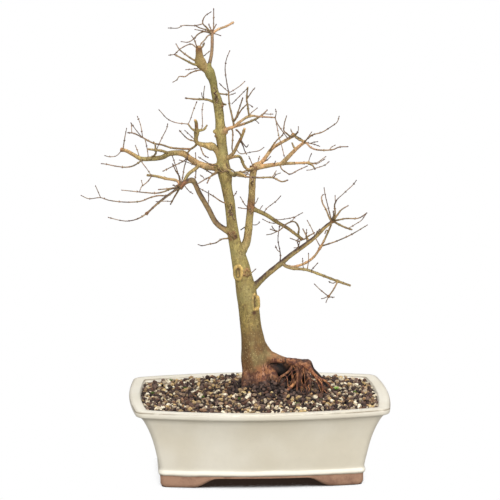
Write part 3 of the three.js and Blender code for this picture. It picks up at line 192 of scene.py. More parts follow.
LIMBS = [
    ("left_low", "trunk", 2.9, 2.1, -22, [(-30.5, 242), (-42, 253.5), (-51, 269), (-59.5, 283.5),
     (-66.5, 296.5), (-73, 295), (-79.5, 290)]),
    ("left_mid", "trunk", 3.6, 1.6, 22, [(-37, 310), (-47, 310), (-59.5, 313), (-69, 318.5),
     (-75.5, 323.5), (-90, 323.5), (-96.5, 320), (-108, 318.5), (-118, 318.5), (-125.5, 322.5),
     (-133, 326.5), (-138, 327.5)]),
    ("shoulder", "trunk", 3.0, 1.3, -16, [(-40, 315), (-45, 329.5), (-52, 331.5), (-62.5, 335),
     (-62.5, 345), (-63, 354.5), (-64, 357)]),
    ("link", "left_mid", 1.9, 1.6, -18, [(-59.5, 312), (-63, 309), (-71, 302.5), (-76.5, 292)]),
    ("right_stem", "trunk", 4.3, 3.2, 14, [(-16.5, 223), (-13, 234), (-11, 243.5), (-9.5, 258.5),
     (-7.5, 278), (-6.5, 297), (-5, 311)]),
    ("right_low", "trunk", 3.4, 1.5, -26, [(-10, 186), (-3.5, 192), (9, 203.5), (21.5, 213.5), (31, 221.5),
     (47, 233), (56.5, 240.5), (66, 250), (75, 257)]),
    ("right_mid", "right_stem", 2.3, 1.3, 24, [(-7.5, 269.5), (7, 262.5), (18.5, 255), (28, 249.5),
     (37.5, 242.5), (43, 238)]),
    ("right_top", "right_stem", 2.8, 1.1, 14, [(-4, 309.5), (5, 311), (11.5, 312), (23, 313.5),
     (34.5, 314), (50.5, 314.5)]),
    ("right_fan", "right_top", 2.5, 1.4, -14, [(23, 313.5), (29.5, 320.5), (38, 329), (46, 335.5)]),
    ("right_rise", "right_stem", 2.2, 1.3, 22, [(-4, 310.5), (2, 314.5), (7, 320.5), (13.5, 329),
     (23, 335), (31, 339.5), (35, 342.5)]),
    ("upper_right", "trunk", 2.2, 0.7, -20, [(-41.5, 343), (-37.5, 344), (-30.5, 348.5), (-25, 350.5),
     (-19.5, 355), (-9.5, 361), (0, 360.5), (16, 359.5)]),
    ("crown_stub", "trunk", 5, 2.4, -6, [(-49.5, 404.5), (-58.5, 414.5), (-60, 424), (-60.5, 430.5)]),
    ("crown_shoot", "trunk", 1.8, 1.5, 8, [(-48, 409), (-47.5, 424), (-47, 441.5), (-47.5, 446.5)]),
    ("front_limb", "trunk", 2.8, 1.3, -74, [(-36.5, 311), (-31, 306), (-25, 302), (-22, 304), (-14, 301)]),
    ("front_low", "trunk", 2.2, 0.7, -64, [(-30, 272), (-28, 269), (-29.5, 266), (-28, 262)]),
    ("back_limb", "trunk", 2.8, 1.2, 78, [(-36.5, 327), (-34.5, 329.5), (-39, 332), (-35, 334.5),
     (-39.5, 337)]),
    ("back_low", "trunk", 2.3, 1.1, 70, [(-29, 262), (-27, 264.5), (-31, 267), (-27, 270)]),
    ("back_high", "trunk", 1.6, 0.8, 52, [(-39.5, 365), (-38, 367), (-41, 369), (-38.5, 372)]),
    ("front_high", "trunk", 1.5, 0.7, -46, [(-42, 377), (-43.5, 379), (-42.5, 381), (-45, 384)]),
    ("top_pin", "crown_shoot", 0.6, 0.5, -4, [(-47.5, 445), (-46, 447), (-45.5, 459), (-45.5, 468)]),
    ("top_right", "crown_shoot", 1.3, 1.0, 12, [(-47.5, 444), (-40.5, 448), (-32.5, 451), (-25.5, 455)]),
    ("top_left", "crown_shoot", 0.9, 0.4, -14, [(-47.5, 444), (-53, 450), (-56.5, 454), (-54.5, 460.5),
     (-48.5, 465)]),
    ("top_wide", "top_left", 0.6, 0.35, -18, [(-56.5, 453.5), (-64, 451.5), (-76.5, 451.5), (-81.5, 449),
     (-90.5, 449)]),
    ("top_low", "crown_shoot", 0.9, 0.4, 14, [(-47.5, 444), (-55.5, 445.5), (-61.5, 442.5), (-65, 438.5),
     (-71, 435), (-77.5, 435.5)]),
    ("top_tie", "crown_shoot", 0.7, 0.6, -12, [(-47.5, 443), (-51, 441.5), (-54.5, 437), (-57.5, 434),
     (-59.5, 430)]),
    ("top_a", "crown_shoot", 0.8, 0.5, 18, [(-47.5, 444), (-52, 447), (-58.5, 449), (-64, 451.5)]),
    ("top_b", "crown_shoot", 0.7, 0.4, -20, [(-47.5, 444), (-53.5, 445.5), (-64, 447.5)]),
    ("top_c", "crown_shoot", 0.8, 0.5, 6, [(-47.5, 445), (-45, 449), (-43, 452.5)]),
    ("top_d", "crown_shoot", 0.7, 0.4, 16, [(-47.5, 445), (-49, 450), (-50.5, 453)]),
    ("top_e", "crown_shoot", 0.6, 0.35, 8, [(-47.5, 444), (-43, 443), (-38.5, 441.5)]),
    ("stub_a", "crown_stub", 0.8, 0.4, -12, [(-60, 429), (-62.5, 431), (-65, 437.5), (-67.5, 441)]),
    ("stub_b", "crown_stub", 0.9, 0.7, 8, [(-60, 427), (-56.5, 430.5), (-55, 434)]),
    ("stub_c", "crown_stub", 0.7, 0.4, 14, [(-60, 428), (-63.5, 430), (-68, 433), (-78.5, 428.5),
     (-84.5, 423), (-90, 422)]),
    ("stub_d", "crown_stub", 1.4, 0.7, -10, [(-58.5, 414.5), (-64, 412.5), (-74, 417), (-84.5, 422.5)]),
    ("stub_e", "crown_stub", 1.1, 0.45, 16, [(-58.5, 416), (-65, 417), (-72, 421.5), (-79.5, 427.5),
     (-83, 433)]),
    ("stub_f", "trunk", 0.8, 0.4, -22, [(-50, 406), (-59.5, 407), (-69, 404), (-74, 400.5), (-80, 400.5),
     (-82, 397.5), (-86, 395)]),
    ("stub_g", "crown_stub", 0.6, 0.4, 20, [(-56, 411), (-63, 408.5), (-73, 407.5)]),
    ("stub_h", "crown_stub", 0.6, 0.4, 22, [(-59.5, 422), (-56, 421), (-52.5, 423.5), (-49.5, 426)]),
    ("left_spur", "trunk", 1.6, 0.6, 10, [(-42.5, 374), (-46, 375.5), (-52, 377.5), (-64, 378),
     (-73.5, 379)]),
    ("left_spur_up", "left_spur", 0.55, 0.4, 4, [(-55.5, 377.5), (-55.5, 383), (-54.5, 390.5)]),
    ("right_peg", "trunk", 1.3, 0.9, 4, [(-41, 373.5), (-36.5, 373), (-33, 372.5)]),
    ("riser", "upper_right", 1.1, 0.7, 10, [(-25, 350.5), (-25.5, 353.5), (-28, 365), (-29.5, 371.5),
     (-30.5, 382.5), (-30.5, 386)]),
    ("riser_tip", "riser", 0.6, 0.35, 8, [(-30.5, 385.5), (-32.5, 395.5), (-34, 409), (-32.5, 418.5),
     (-29.5, 426)]),
    ("riser_tie", "trunk", 1.1, 0.7, 6, [(-44, 385), (-39.5, 383.5), (-30.5, 382.5)]),
    ("lift", "upper_right", 1.0, 0.8, -12, [(-9.5, 360.5), (-10.5, 364), (-11.5, 371.5), (-12.5, 377.5),
     (-11.5, 390)]),
    ("lift_a", "lift", 0.6, 0.35, -8, [(-12, 377.5), (-7, 386), (-4.5, 389)]),
    ("cross_a", "riser", 0.9, 0.6, -8, [(-25.5, 356), (-24, 357), (-17.5, 367.5), (-11.5, 373.5)]),
    ("cross_b", "riser", 0.9, 0.6, -20, [(-26, 357), (-24, 358), (-20, 368.5), (-16.5, 379)]),
    ("second", "upper_right", 1.4, 0.6, 14, [(-25, 350), (-17.5, 352.5), (-8, 356), (0, 360), (4.5, 363.5),
     (8, 367)]),
    ("drop_a", "upper_right", 0.6, 0.45, 12, [(16, 359.5), (17, 356), (19.5, 351.5), (24, 345), (28, 339.5)]),
    ("spine", "upper_right", 0.8, 0.6, 8, [(-28, 349.5), (-26.5, 346), (-26.5, 337), (-27, 328.5),
     (-26, 324)]),
    ("hook", "trunk", 2.0, 1.3, -26, [(-36.5, 320), (-30, 320.5), (-25.5, 324.5), (-21, 333.5),
     (-17.5, 340), (-14.5, 348.5)]),
    ("hook_a", "hook", 1.0, 0.7, 8, [(-17.5, 340), (-19.5, 344), (-23, 347.5)]),
    ("hook_b", "hook", 0.7, 0.4, -10, [(-17.5, 337), (-15.5, 333), (-12.5, 330), (-11, 332)]),
    ("hook_c", "hook", 0.7, 0.4, 12, [(-18.5, 336), (-16, 331), (-14.5, 326.5), (-12.5, 323)]),
    ("bridge", "trunk", 1.6, 1.3, 16, [(-36, 316), (-30, 319), (-19.5, 320.5), (-15, 311.5), (-11.5, 308),
     (-5.5, 309)]),
    ("bridge_b", "trunk", 1.0, 0.8, 22, [(-34, 302.5), (-23, 302.5), (-14, 306), (-6, 307.5)]),
    ("crown_a", "trunk", 0.9, 0.6, -34, [(-35, 305), (-43, 305), (-49, 300), (-52, 294)]),
    ("crown_b", "trunk", 0.8, 0.5, -18, [(-41, 306), (-44, 303), (-54.5, 297.5), (-62.5, 292.5)]),
    ("crown_d", "trunk", 0.8, 0.5, 20, [(-40, 306), (-45, 303.5), (-53.5, 307.5), (-60, 311)]),
    ("crown_e", "trunk", 0.6, 0.4, -30, [(-40, 312), (-47, 312), (-52.5, 315), (-60.5, 320)]),
    ("low_bar", "trunk", 1.1, 0.7, -12, [(-33, 301.5), (-27.5, 302), (-14, 300.5), (0, 299.5),
     (13.5, 299.5), (23, 295.5), (28.5, 297)]),
    ("low_bar_a", "low_bar", 0.6, 0.4, 8, [(13, 299.5), (15, 302.5), (17, 306)]),
    ("low_bar_b", "low_bar", 0.55, 0.35, -10, [(14, 299.5), (17, 302.5), (21, 304)]),
    ("nub", "trunk", 0.6, 0.4, -6, [(-30, 279), (-25, 281.5), (-22.5, 285.5)]),
    ("shoulder_a", "shoulder", 1.3, 0.9, 8, [(-62.5, 346), (-55.5, 347.5), (-52, 352)]),
    ("shoulder_c", "shoulder", 1.1, 0.8, -10, [(-62.5, 343), (-63, 345), (-67.5, 348.5), (-71, 353)]),
    ("shoulder_f", "shoulder", 0.9, 0.4, -16, [(-62.5, 335.5), (-65, 336), (-71, 338), (-76.5, 343),
     (-79.5, 346.5)]),
    ("shoulder_h", "shoulder", 0.7, 0.5, -22, [(-60, 334), (-55.5, 322.5), (-51, 319.5)]),
    ("shoulder_i", "shoulder", 1.3, 0.8, 14, [(-61.5, 335), (-64, 331), (-69, 327.5), (-72, 323.5)]),
    ("left_high", "shoulder_i", 1.1, 0.6, 22, [(-68, 328), (-78.5, 328.5), (-88, 329.5), (-97.5, 332.5),
     (-105.5, 334), (-117, 340), (-125.5, 344), (-131, 344.5)]),
    ("left_high_d", "left_high", 0.55, 0.4, -18, [(-114.5, 338), (-112, 329), (-111, 321)]),
    ("slab", "left_mid", 1.5, 1.1, -12, [(-90, 323.5), (-96, 326), (-102.5, 327), (-111, 328)]),
    ("slab_a", "slab", 1.0, 0.7, 6, [(-103.5, 327), (-104, 333), (-105.5, 335)]),
    ("slab_b", "slab", 1.0, 0.8, 12, [(-103, 327), (-104, 322.5), (-108, 320)]),
    ("left_tip_a", "left_mid", 0.65, 0.4, -6, [(-136, 327), (-134.5, 338), (-132.5, 348.5)]),
    ("left_under", "left_mid", 0.9, 0.45, -16, [(-117, 318.5), (-118, 316.5), (-125.5, 311.5), (-133, 310),
     (-143, 311), (-153, 313), (-157.5, 313.5)]),
    ("left_twig_b", "left_mid", 0.55, 0.4, -26, [(-117, 318), (-117, 315), (-112, 308), (-108, 302)]),
    ("amber", "left_low", 1.5, 1.2, 16, [(-79, 291), (-81.5, 296), (-93, 298.5), (-103.5, 301), (-112, 302)]),
    ("amber_a", "amber", 0.6, 0.4, -14, [(-108, 301.5), (-108.5, 299.5), (-112, 295), (-117, 291),
     (-118.5, 288.5), (-119.5, 285.5)]),
    ("fan_a", "left_low", 0.9, 0.5, -18, [(-79, 290), (-90, 288.5), (-100.5, 287.5)]),
    ("fan_b", "left_low", 1.0, 0.4, 12, [(-79, 290), (-89, 288), (-95, 285.5), (-102.5, 284),
     (-113, 284.5), (-122.5, 285.5), (-137, 287)]),
    ("fan_c", "left_low", 1.3, 1.0, -22, [(-79, 290), (-86, 285.5), (-100.5, 274.5), (-113, 263)]),
    ("fan_d", "fan_c", 0.75, 0.35, -14, [(-111.5, 264.5), (-118, 260), (-125.5, 257), (-133, 256),
     (-140.5, 257), (-150.5, 259.5)]),
    ("fan_e", "fan_c", 0.8, 0.4, 18, [(-88, 284.5), (-93, 281.5), (-100.5, 281.5), (-109, 279.5),
     (-118, 276), (-129.5, 275), (-140.5, 275.5), (-150.5, 277), (-158.5, 279.5), (-170.5, 278.5),
     (-177.5, 281.5)]),
    ("fan_g", "left_low", 1.1, 0.6, 10, [(-79, 290), (-81.5, 285.5), (-85, 279.5), (-88.5, 273)]),
    ("fan_i", "left_low", 0.8, 0.5, -14, [(-78.5, 291), (-79.5, 299.5), (-83.5, 306.5), (-86.5, 313)]),
    ("fan_j", "left_low", 0.6, 0.4, -26, [(-78.5, 291), (-80.5, 301.5), (-84.5, 314), (-87, 321.5)]),
    ("fan_k", "left_low", 0.7, 0.45, 22, [(-78, 291), (-76.5, 299.5), (-74.5, 311), (-71, 322.5)]),
    ("fan_m", "left_low", 0.6, 0.45, 20, [(-66.5, 296), (-64, 298.5), (-63, 309), (-63.5, 324)]),
    ("fan_n", "left_low", 0.9, 0.5, -34, [(-79, 290), (-82, 291.5), (-84, 291), (-86, 292)]),
    ("fan_o", "left_low", 0.9, 0.5, 36, [(-78, 290.5), (-75, 292.5), (-72, 294.5), (-68, 295.5)]),
    ("web_a", "left_mid", 0.6, 0.5, -34, [(-71, 320), (-73, 318), (-77.5, 315), (-87, 310.5), (-96, 306)]),
    ("knee_b", "trunk", 0.8, 0.4, -22, [(-30, 274), (-36.5, 275), (-45, 280.5), (-50, 283.5), (-59, 288.5)]),
    ("fork_a", "trunk", 0.9, 0.4, -14, [(-26, 240), (-30.5, 239), (-37.5, 238), (-43, 234.5), (-50, 233),
     (-57, 231.5), (-60.5, 232.5)]),
    ("stem_a", "right_stem", 0.6, 0.35, -10, [(-8, 269), (-12, 268.5), (-17, 269), (-20.5, 269.5)]),
    ("stem_b", "right_stem", 0.6, 0.4, 8, [(-8, 270), (-13, 271.5), (-18.5, 280)]),
    ("stem_g", "right_stem", 0.8, 0.5, 12, [(-10.5, 250.5), (-14, 250), (-18, 247.5)]),
    ("stem_h", "right_stem", 0.6, 0.4, -40, [(-8, 269), (-9, 266), (-8, 263)]),
    ("stem_i", "right_stem", 0.9, 0.5, 34, [(-7, 287), (-6, 290), (-8, 293), (-6, 297)]),
    ("stem_j", "right_stem", 0.9, 0.5, -36, [(-6.5, 292), (-7.5, 294), (-6, 297), (-7, 300)]),
    ("mid_a", "right_mid", 0.7, 0.4, -12, [(42, 238.5), (40.5, 236), (35.5, 237.5), (31.5, 239)]),
    ("mid_c", "right_mid", 1.0, 0.7, -10, [(40.5, 240), (39.5, 243.5), (40, 249), (36.5, 255), (32, 256)]),
    ("mid_d", "mid_c", 0.8, 0.5, -14, [(32.5, 256), (27, 253), (23, 249), (18.5, 246), (11.5, 248)]),
    ("mid_j", "right_mid", 0.9, 0.6, 6, [(42, 238.5), (45, 238), (48.5, 240.5), (55.5, 244.5)]),
    ("low_up", "right_low", 0.7, 0.4, 10, [(21.5, 213.5), (21, 215.5), (21.5, 220.5), (21, 226),
     (19, 237.5), (20.5, 251)]),
    ("tip_a", "right_low", 1.0, 0.5, 12, [(73.5, 256), (71, 258), (67, 267.5), (63.5, 274), (62.5, 280),
     (64, 282.5)]),
    ("tip_b", "right_low", 0.65, 0.4, -12, [(73.5, 256), (71.5, 260.5), (68.5, 272), (66, 282.5), (65, 289)]),
    ("tip_c", "right_low", 1.0, 0.6, -16, [(74, 256.5), (76, 263.5), (75.5, 272), (77.5, 277)]),
    ("tip_f", "right_low", 1.1, 0.5, 20, [(74, 256.5), (78.5, 262.5), (82.5, 267.5), (89, 271.5)]),
    ("tip_g", "right_low", 1.0, 0.5, -26, [(74, 256.5), (78.5, 257), (86.5, 258.5), (99.5, 259),
     (107.5, 264)]),
    ("tip_h", "right_low", 1.2, 0.8, 14, [(74, 256), (77.5, 254), (85.5, 250), (93, 247.5)]),
    ("tip_j", "right_low", 0.9, 0.5, 30, [(74, 256.5), (72, 254.5), (69, 253), (66, 250.5)]),
    ("tip_k", "right_low", 0.9, 0.5, -34, [(74, 256.5), (73.5, 259), (74.5, 262), (74, 266)]),
    ("arch", "right_low", 1.5, 1.0, 16, [(23, 214.5), (25, 212.5), (31, 210.5), (37.5, 211), (47, 214.5),
     (55, 220.5), (61.5, 230), (66, 238.5), (72.5, 253)]),
    ("arch_a", "arch", 0.8, 0.4, -12, [(62, 231), (76, 235.5), (90, 241.5), (99, 246.5), (108, 252)]),
    ("arch_b", "arch", 0.55, 0.35, 10, [(61.5, 230), (56.5, 239.5), (53, 248), (48.5, 256.5)]),
    ("arch_c", "arch", 0.7, 0.5, -8, [(69.5, 246), (67.5, 247), (66, 244)]),
    ("low_out", "right_low", 1.7, 1.1, -22, [(23, 214.5), (26, 211.5), (32, 209), (47, 207.5),
     (61.5, 202.5), (78.5, 196), (91.5, 191.5)]),
    ("low_out_a", "low_out", 0.55, 0.4, 8, [(48.5, 207), (49.5, 216.5), (49.5, 223.5)]),
    ("low_out_d", "low_out", 0.9, 0.7, -12, [(79, 196), (77, 192.5), (74, 187), (69, 180)]),
    ("low_out_e", "low_out_d", 0.55, 0.4, 8, [(69.5, 180.5), (60.5, 188), (55.5, 193)]),
    ("limb_a", "right_low", 0.9, 0.6, 12, [(50, 235.5), (48, 240), (44, 248)]),
    ("limb_b", "right_low", 0.6, 0.4, -14, [(47.5, 233.5), (47.5, 239.5), (47.5, 247.5)]),
    ("limb_d", "right_low", 0.7, 0.4, -24, [(38, 227), (39.5, 231), (38.5, 235), (40, 240)]),
    ("limb_e", "right_low", 0.7, 0.4, 26, [(27, 218), (30, 220), (33, 222.5), (36, 225)]),
    ("prong_a", "right_rise", 0.9, 0.45, -12, [(31.5, 340), (28, 343.5), (25, 346.5), (25.5, 354),
     (27.5, 361)]),
    ("prong_b", "right_rise", 0.7, 0.4, 10, [(34, 342), (33, 345), (32, 348)]),
    ("prong_c", "right_rise", 0.9, 0.6, -6, [(34.5, 342), (37, 343), (39, 345)]),
    ("prong_e", "right_fan", 1.3, 0.8, 8, [(37.5, 328.5), (35, 330), (33, 334.5)]),
    ("prong_f", "right_fan", 1.2, 0.8, 14, [(46, 335.5), (40, 337.5), (36, 340.5)]),
    ("prong_g", "right_rise", 0.9, 0.5, -22, [(10.5, 325), (13, 330.5), (18, 337), (23, 341.5),
     (24.5, 344.5)]),
    ("prong_h", "right_rise", 0.7, 0.4, 12, [(2.5, 314.5), (7, 316.5), (11.5, 320.5)]),
    ("prong_j", "right_rise", 0.9, 0.5, 34, [(34.5, 342), (38, 340.5), (42, 338.5), (45, 336.5)]),
    ("prong_k", "right_rise", 0.8, 0.5, -34, [(34.5, 342), (32, 340.5), (29, 339), (26, 337)]),
    ("sweep_a", "right_fan", 0.75, 0.35, -14, [(45, 335), (51.5, 341.5), (63, 345), (72, 350.5), (78, 355),
     (80, 360.5)]),
    ("sweep_c", "right_fan", 1.1, 0.5, -18, [(45, 335), (47.5, 334), (51.5, 330), (57.5, 327.5),
     (73.5, 327.5), (80, 330), (88.5, 330.5)]),
    ("sweep_e", "right_fan", 0.7, 0.4, 16, [(45, 335), (48, 334.5), (55, 333), (60.5, 331)]),
    ("sweep_g", "right_fan", 0.8, 0.4, -30, [(45, 335), (47.5, 337.5), (50.5, 340), (54, 342)]),
    ("end_a", "right_top", 0.6, 0.35, 10, [(49.5, 314.5), (57.5, 314.5), (66.5, 320.5)]),
    ("end_c", "right_top", 1.1, 0.7, -6, [(49.5, 314.5), (53.5, 312), (56, 308)]),
    ("end_f", "right_top", 0.7, 0.5, -14, [(21, 313), (23, 308), (27, 305), (31, 303), (39, 307), (48, 311)]),
    ("end_h", "right_top", 0.8, 0.4, 30, [(41, 314), (45, 314), (49, 313.5), (52.5, 312)]),
    ("stem_top", "right_stem", 0.6, 0.4, -4, [(-5, 309), (-7, 313.5), (-10, 320.5)]),
    ("stem_top_b", "right_stem", 0.6, 0.4, 8, [(-5, 309), (-1.5, 314.5), (0.5, 320.5)]),
    ("scar_twig", "trunk", 0.6, 0.45, -4, [(-14, 204.5), (-8.5, 204), (-3.5, 208)]),
    ("front_a", "front_limb", 0.9, 0.45, -26, [(-29, 304.5), (-33, 306.5), (-37, 305), (-40, 307.5)]),
    ("front_b", "front_limb", 0.9, 0.45, -18, [(-24, 303), (-19, 305.5), (-14, 304), (-9, 306)]),
    ("front_c", "front_limb", 0.8, 0.4, -16, [(-23, 303.5), (-27, 307), (-31, 309), (-33, 313)]),
    ("front_d", "front_limb", 0.7, 0.4, -24, [(-15, 301.5), (-11, 303), (-8, 299), (-6, 295)]),
    ("front_e", "front_low", 0.8, 0.4, -20, [(-29, 267), (-31, 265.5), (-29, 263), (-31, 260)]),
    ("front_f", "front_low", 0.7, 0.4, -16, [(-29, 265), (-26.5, 263.5), (-27, 260), (-25, 257.5)]),
    ("front_g", "front_low", 0.6, 0.35, -18, [(-28.5, 263), (-29.5, 266), (-27.5, 269), (-29, 272.5)]),
    ("back_a", "back_limb", 0.9, 0.4, 26, [(-37, 333), (-39, 338), (-36.5, 343), (-39, 348)]),
    ("back_b", "back_limb", 0.8, 0.4, 20, [(-35.5, 334), (-38.5, 331), (-36, 326), (-38, 321)]),
    ("back_c", "back_limb", 0.7, 0.4, 17, [(-38.5, 336.5), (-35.5, 340), (-37, 345), (-41, 349)]),
    ("back_d", "back_low", 0.8, 0.4, 22, [(-30.5, 267), (-33, 271), (-29, 275), (-31.5, 280)]),
    ("back_e", "back_low", 0.7, 0.4, 18, [(-28.5, 269), (-26, 264), (-29, 259), (-26, 254)]),
    ("back_f", "back_high", 0.6, 0.35, 18, [(-40.5, 368.5), (-42.5, 364), (-40, 359.5)]),
    ("back_g", "back_high", 0.6, 0.35, 16, [(-39.5, 371), (-42, 376), (-41, 381)]),
    ("front_h", "front_high", 0.6, 0.35, -16, [(-43, 380), (-41.5, 377.5), (-43, 374.5)]),
    ("front_i", "front_high", 0.6, 0.35, -14, [(-44.5, 383.5), (-43, 386), (-45.5, 389)]),
]
# The finest twigs, in the same way but for a name
TWIGS = [
    ("left_spur", 0.5, 0.35, -6, [(-55.5, 377.5), (-57, 381), (-57.5, 384)]),
    ("riser", 0.45, 0.35, -10, [(-30.5, 385), (-35.5, 389.5), (-39.5, 393.5)]),
    ("riser", 0.45, 0.35, 12, [(-30, 384), (-28, 385.5), (-19.5, 391), (-14.5, 395.5)]),
    ("riser", 0.45, 0.35, -8, [(-30, 382), (-28, 382.5), (-24, 384)]),
    ("lift", 0.5, 0.35, 8, [(-11.5, 372.5), (-9, 372), (-6.5, 370)]),
    ("lift", 0.4, 0.35, 14, [(-12, 389), (-19, 381.5), (-27, 373.5)]),
    ("second", 0.5, 0.35, -8, [(4.5, 363.5), (8.5, 363), (13.5, 363)]),
    ("second", 0.45, 0.35, 6, [(-4, 357), (-2.5, 356), (-0.5, 354)]),
    ("upper_right", 0.45, 0.35, 12, [(-9.5, 361.5), (-8, 364), (-2, 369)]),
    ("upper_right", 0.5, 0.35, -4, [(16, 359.5), (17, 364), (16.5, 367.5)]),
    ("upper_right", 0.5, 0.4, -22, [(16, 359.5), (17.5, 352.5), (19.5, 341.5), (22.5, 331),
     (25, 320.5)]),
    ("hook", 0.5, 0.35, -14, [(-23, 328.5), (-18.5, 323.5), (-8, 325), (0, 326.5), (4.5, 329.5)]),
    ("crown_b", 0.45, 0.35, 10, [(-54.5, 297.5), (-56, 300), (-58.5, 302)]),
    ("shoulder", 0.5, 0.35, 14, [(-62.5, 347), (-57.5, 348.5), (-57, 367), (-56, 373.5)]),
    ("shoulder_c", 0.5, 0.35, -12, [(-71, 353), (-83.5, 354.5), (-91.5, 358), (-100, 367)]),
    ("shoulder_c", 0.45, 0.35, 10, [(-71, 352.5), (-69, 357), (-66, 366), (-62.5, 375)]),
    ("shoulder", 0.45, 0.35, 14, [(-62.5, 336), (-67, 340), (-74, 346.5)]),
    ("left_high", 0.5, 0.35, -8, [(-117, 340), (-122.5, 346.5), (-128, 354)]),
    ("left_high", 0.45, 0.35, 6, [(-127.5, 344.5), (-127.5, 349), (-127.5, 353.5)]),
    ("left_high", 0.5, 0.35, 10, [(-116, 339.5), (-118.5, 352.5), (-121.5, 360.5)]),
    ("slab", 0.5, 0.35, -10, [(-103, 327), (-101.5, 330), (-96.5, 340.5), (-92.5, 348.5),
     (-91.5, 353)]),
    ("left_mid", 0.45, 0.35, -12, [(-137, 327), (-142.5, 321.5), (-149.5, 320.5),
     (-154, 321.5)]),
    ("left_mid", 0.5, 0.35, 10, [(-119.5, 319.5), (-121.5, 326.5), (-123.5, 331.5)]),
    ("amber_a", 0.4, 0.35, 6, [(-116, 291.5), (-117, 294), (-117.5, 296.5)]),
    ("fan_e", 0.4, 0.35, -6, [(-158.5, 279.5), (-161, 285.5), (-163.5, 291)]),
    ("fan_g", 0.45, 0.35, -10, [(-85.5, 279), (-88, 276), (-93, 276), (-102.5, 275.5)]),
    ("left_low", 0.5, 0.35, -16, [(-75, 293), (-70, 286), (-66.5, 283.5)]),
    ("left_mid", 0.5, 0.35, -22, [(-63, 314.5), (-64, 312), (-72, 315), (-79.5, 317)]),
    ("left_low", 0.5, 0.35, -12, [(-51, 269), (-50.5, 278.5), (-50.5, 286)]),
    ("right_stem", 0.5, 0.35, -12, [(-7.5, 270), (-3.5, 274), (-1, 279)]),
    ("right_mid", 0.45, 0.35, -14, [(5, 263.5), (7, 268), (17.5, 276.5), (21.5, 281)]),
    ("right_mid", 0.45, 0.35, 12, [(0, 266), (2, 269.5), (3.5, 271.5)]),
    ("right_stem", 0.5, 0.35, 16, [(-9.5, 253), (-6.5, 252.5), (-2.5, 252.5), (0.5, 255)]),
    ("right_mid", 0.5, 0.4, 10, [(41, 239), (40.5, 234), (38.5, 230), (35.5, 229.5)]),
    ("mid_d", 0.5, 0.35, 8, [(18.5, 246), (13, 243.5), (8, 242.5)]),
    ("mid_d", 0.5, 0.35, -8, [(17, 246), (14, 249), (13, 251)]),
    ("mid_c", 0.45, 0.35, 16, [(32.5, 256), (36.5, 260.5), (43.5, 264.5)]),
    ("right_mid", 0.45, 0.35, -16, [(13, 258.5), (17.5, 257.5), (28, 258.5), (36.5, 260.5)]),
    ("right_mid", 0.45, 0.35, 14, [(19, 254.5), (15, 254), (10, 255), (4, 258)]),
    ("low_up", 0.4, 0.35, -6, [(21, 225.5), (18.5, 227), (16.5, 231)]),
    ("tip_c", 0.5, 0.35, -12, [(76.5, 274.5), (77.5, 277), (85.5, 284.5), (94.5, 293), (97, 296.5)]),
    ("tip_c", 0.4, 0.35, 8, [(76.5, 274.5), (76, 278.5), (76, 281.5)]),
    ("tip_h", 0.45, 0.35, -10, [(87, 249.5), (89, 249), (98, 254), (102.5, 257), (106.5, 262.5)]),
    ("low_out", 0.45, 0.35, -6, [(44.5, 208), (44, 211.5), (43.5, 218.5)]),
    ("low_out", 0.4, 0.35, -10, [(51.5, 206), (54.5, 209.5), (58.5, 214)]),
    ("low_out_d", 0.5, 0.4, -6, [(70, 181), (65, 179), (62.5, 178.5)]),
    ("low_out_d", 0.5, 0.4, 10, [(69.5, 180.5), (72, 180), (75, 180)]),
    ("low_out_d", 0.5, 0.4, -4, [(69.5, 180.5), (68, 177.5), (67, 175)]),
    ("low_out", 0.5, 0.4, 14, [(78, 196), (74, 194), (70, 195.5)]),
    ("right_low", 0.5, 0.4, -10, [(56.5, 240.5), (57.5, 244.5), (60.5, 248)]),
    ("right_rise", 0.4, 0.35, 14, [(34.5, 342), (39, 346), (39.5, 350.5)]),
    ("right_top", 0.5, 0.35, -6, [(14.5, 312.5), (16.5, 316)]),
    ("right_fan", 0.5, 0.35, 10, [(45.5, 335.5), (49, 340), (52.5, 345)]),
    ("sweep_c", 0.5, 0.35, 8, [(70, 327.5), (72.5, 330), (76, 332)]),
    ("sweep_e", 0.45, 0.35, -6, [(51.5, 333.5), (54.5, 335), (58.5, 335.5)]),
    ("right_top", 0.5, 0.35, -10, [(49.5, 314.5), (57.5, 313.5), (65.5, 318)]),
    ("end_c", 0.5, 0.35, 12, [(56, 309), (65.5, 312), (70, 315.5)]),
    ("right_top", 0.4, 0.35, 6, [(49, 314.5), (51, 320), (52.5, 323.5)]),
    ("end_c", 0.4, 0.35, -12, [(56, 309), (52, 307.5), (48, 307)]),
]

# Knuckles where limbs were cut back: the limb, across, up, radius there
KNUCKLES = [
    ("crown_shoot", -47.5, 446.5, 2.6), ("left_mid", -76, 323.5, 3.2), ("left_mid", -138, 327.5, 2.3),
    ("left_low", -79.5, 290, 3.3), ("left_low", -66.5, 296.5, 2.9), ("fan_c", -113, 263, 1.9),
    ("right_stem", -5, 311, 4.4), ("right_stem", -7.5, 271, 4), ("right_low", 75, 257, 2.6),
    ("right_low", 21.5, 213.5, 3), ("right_rise", 35, 342.5, 2.5), ("right_fan", 46, 335.5, 1.9),
    ("right_mid", 43, 238, 2), ("low_out_d", 69, 180, 1.6), ("arch", 61.5, 230, 1.7),
    ("upper_right", -9.5, 361, 1.7), ("right_top", 50.5, 314.5, 1.8), ("low_out", 78.5, 196, 1.8),
    ("crown_stub", -57, 413, 5.9), ("crown_stub", -60.2, 425, 3.4), ("shoulder", -62.5, 344, 2.7),
    ("shoulder", -48.5, 330, 4.3), ("root_head", 36, 114.7, 4.3), ("root_head", 48, 111, 5.4),
]

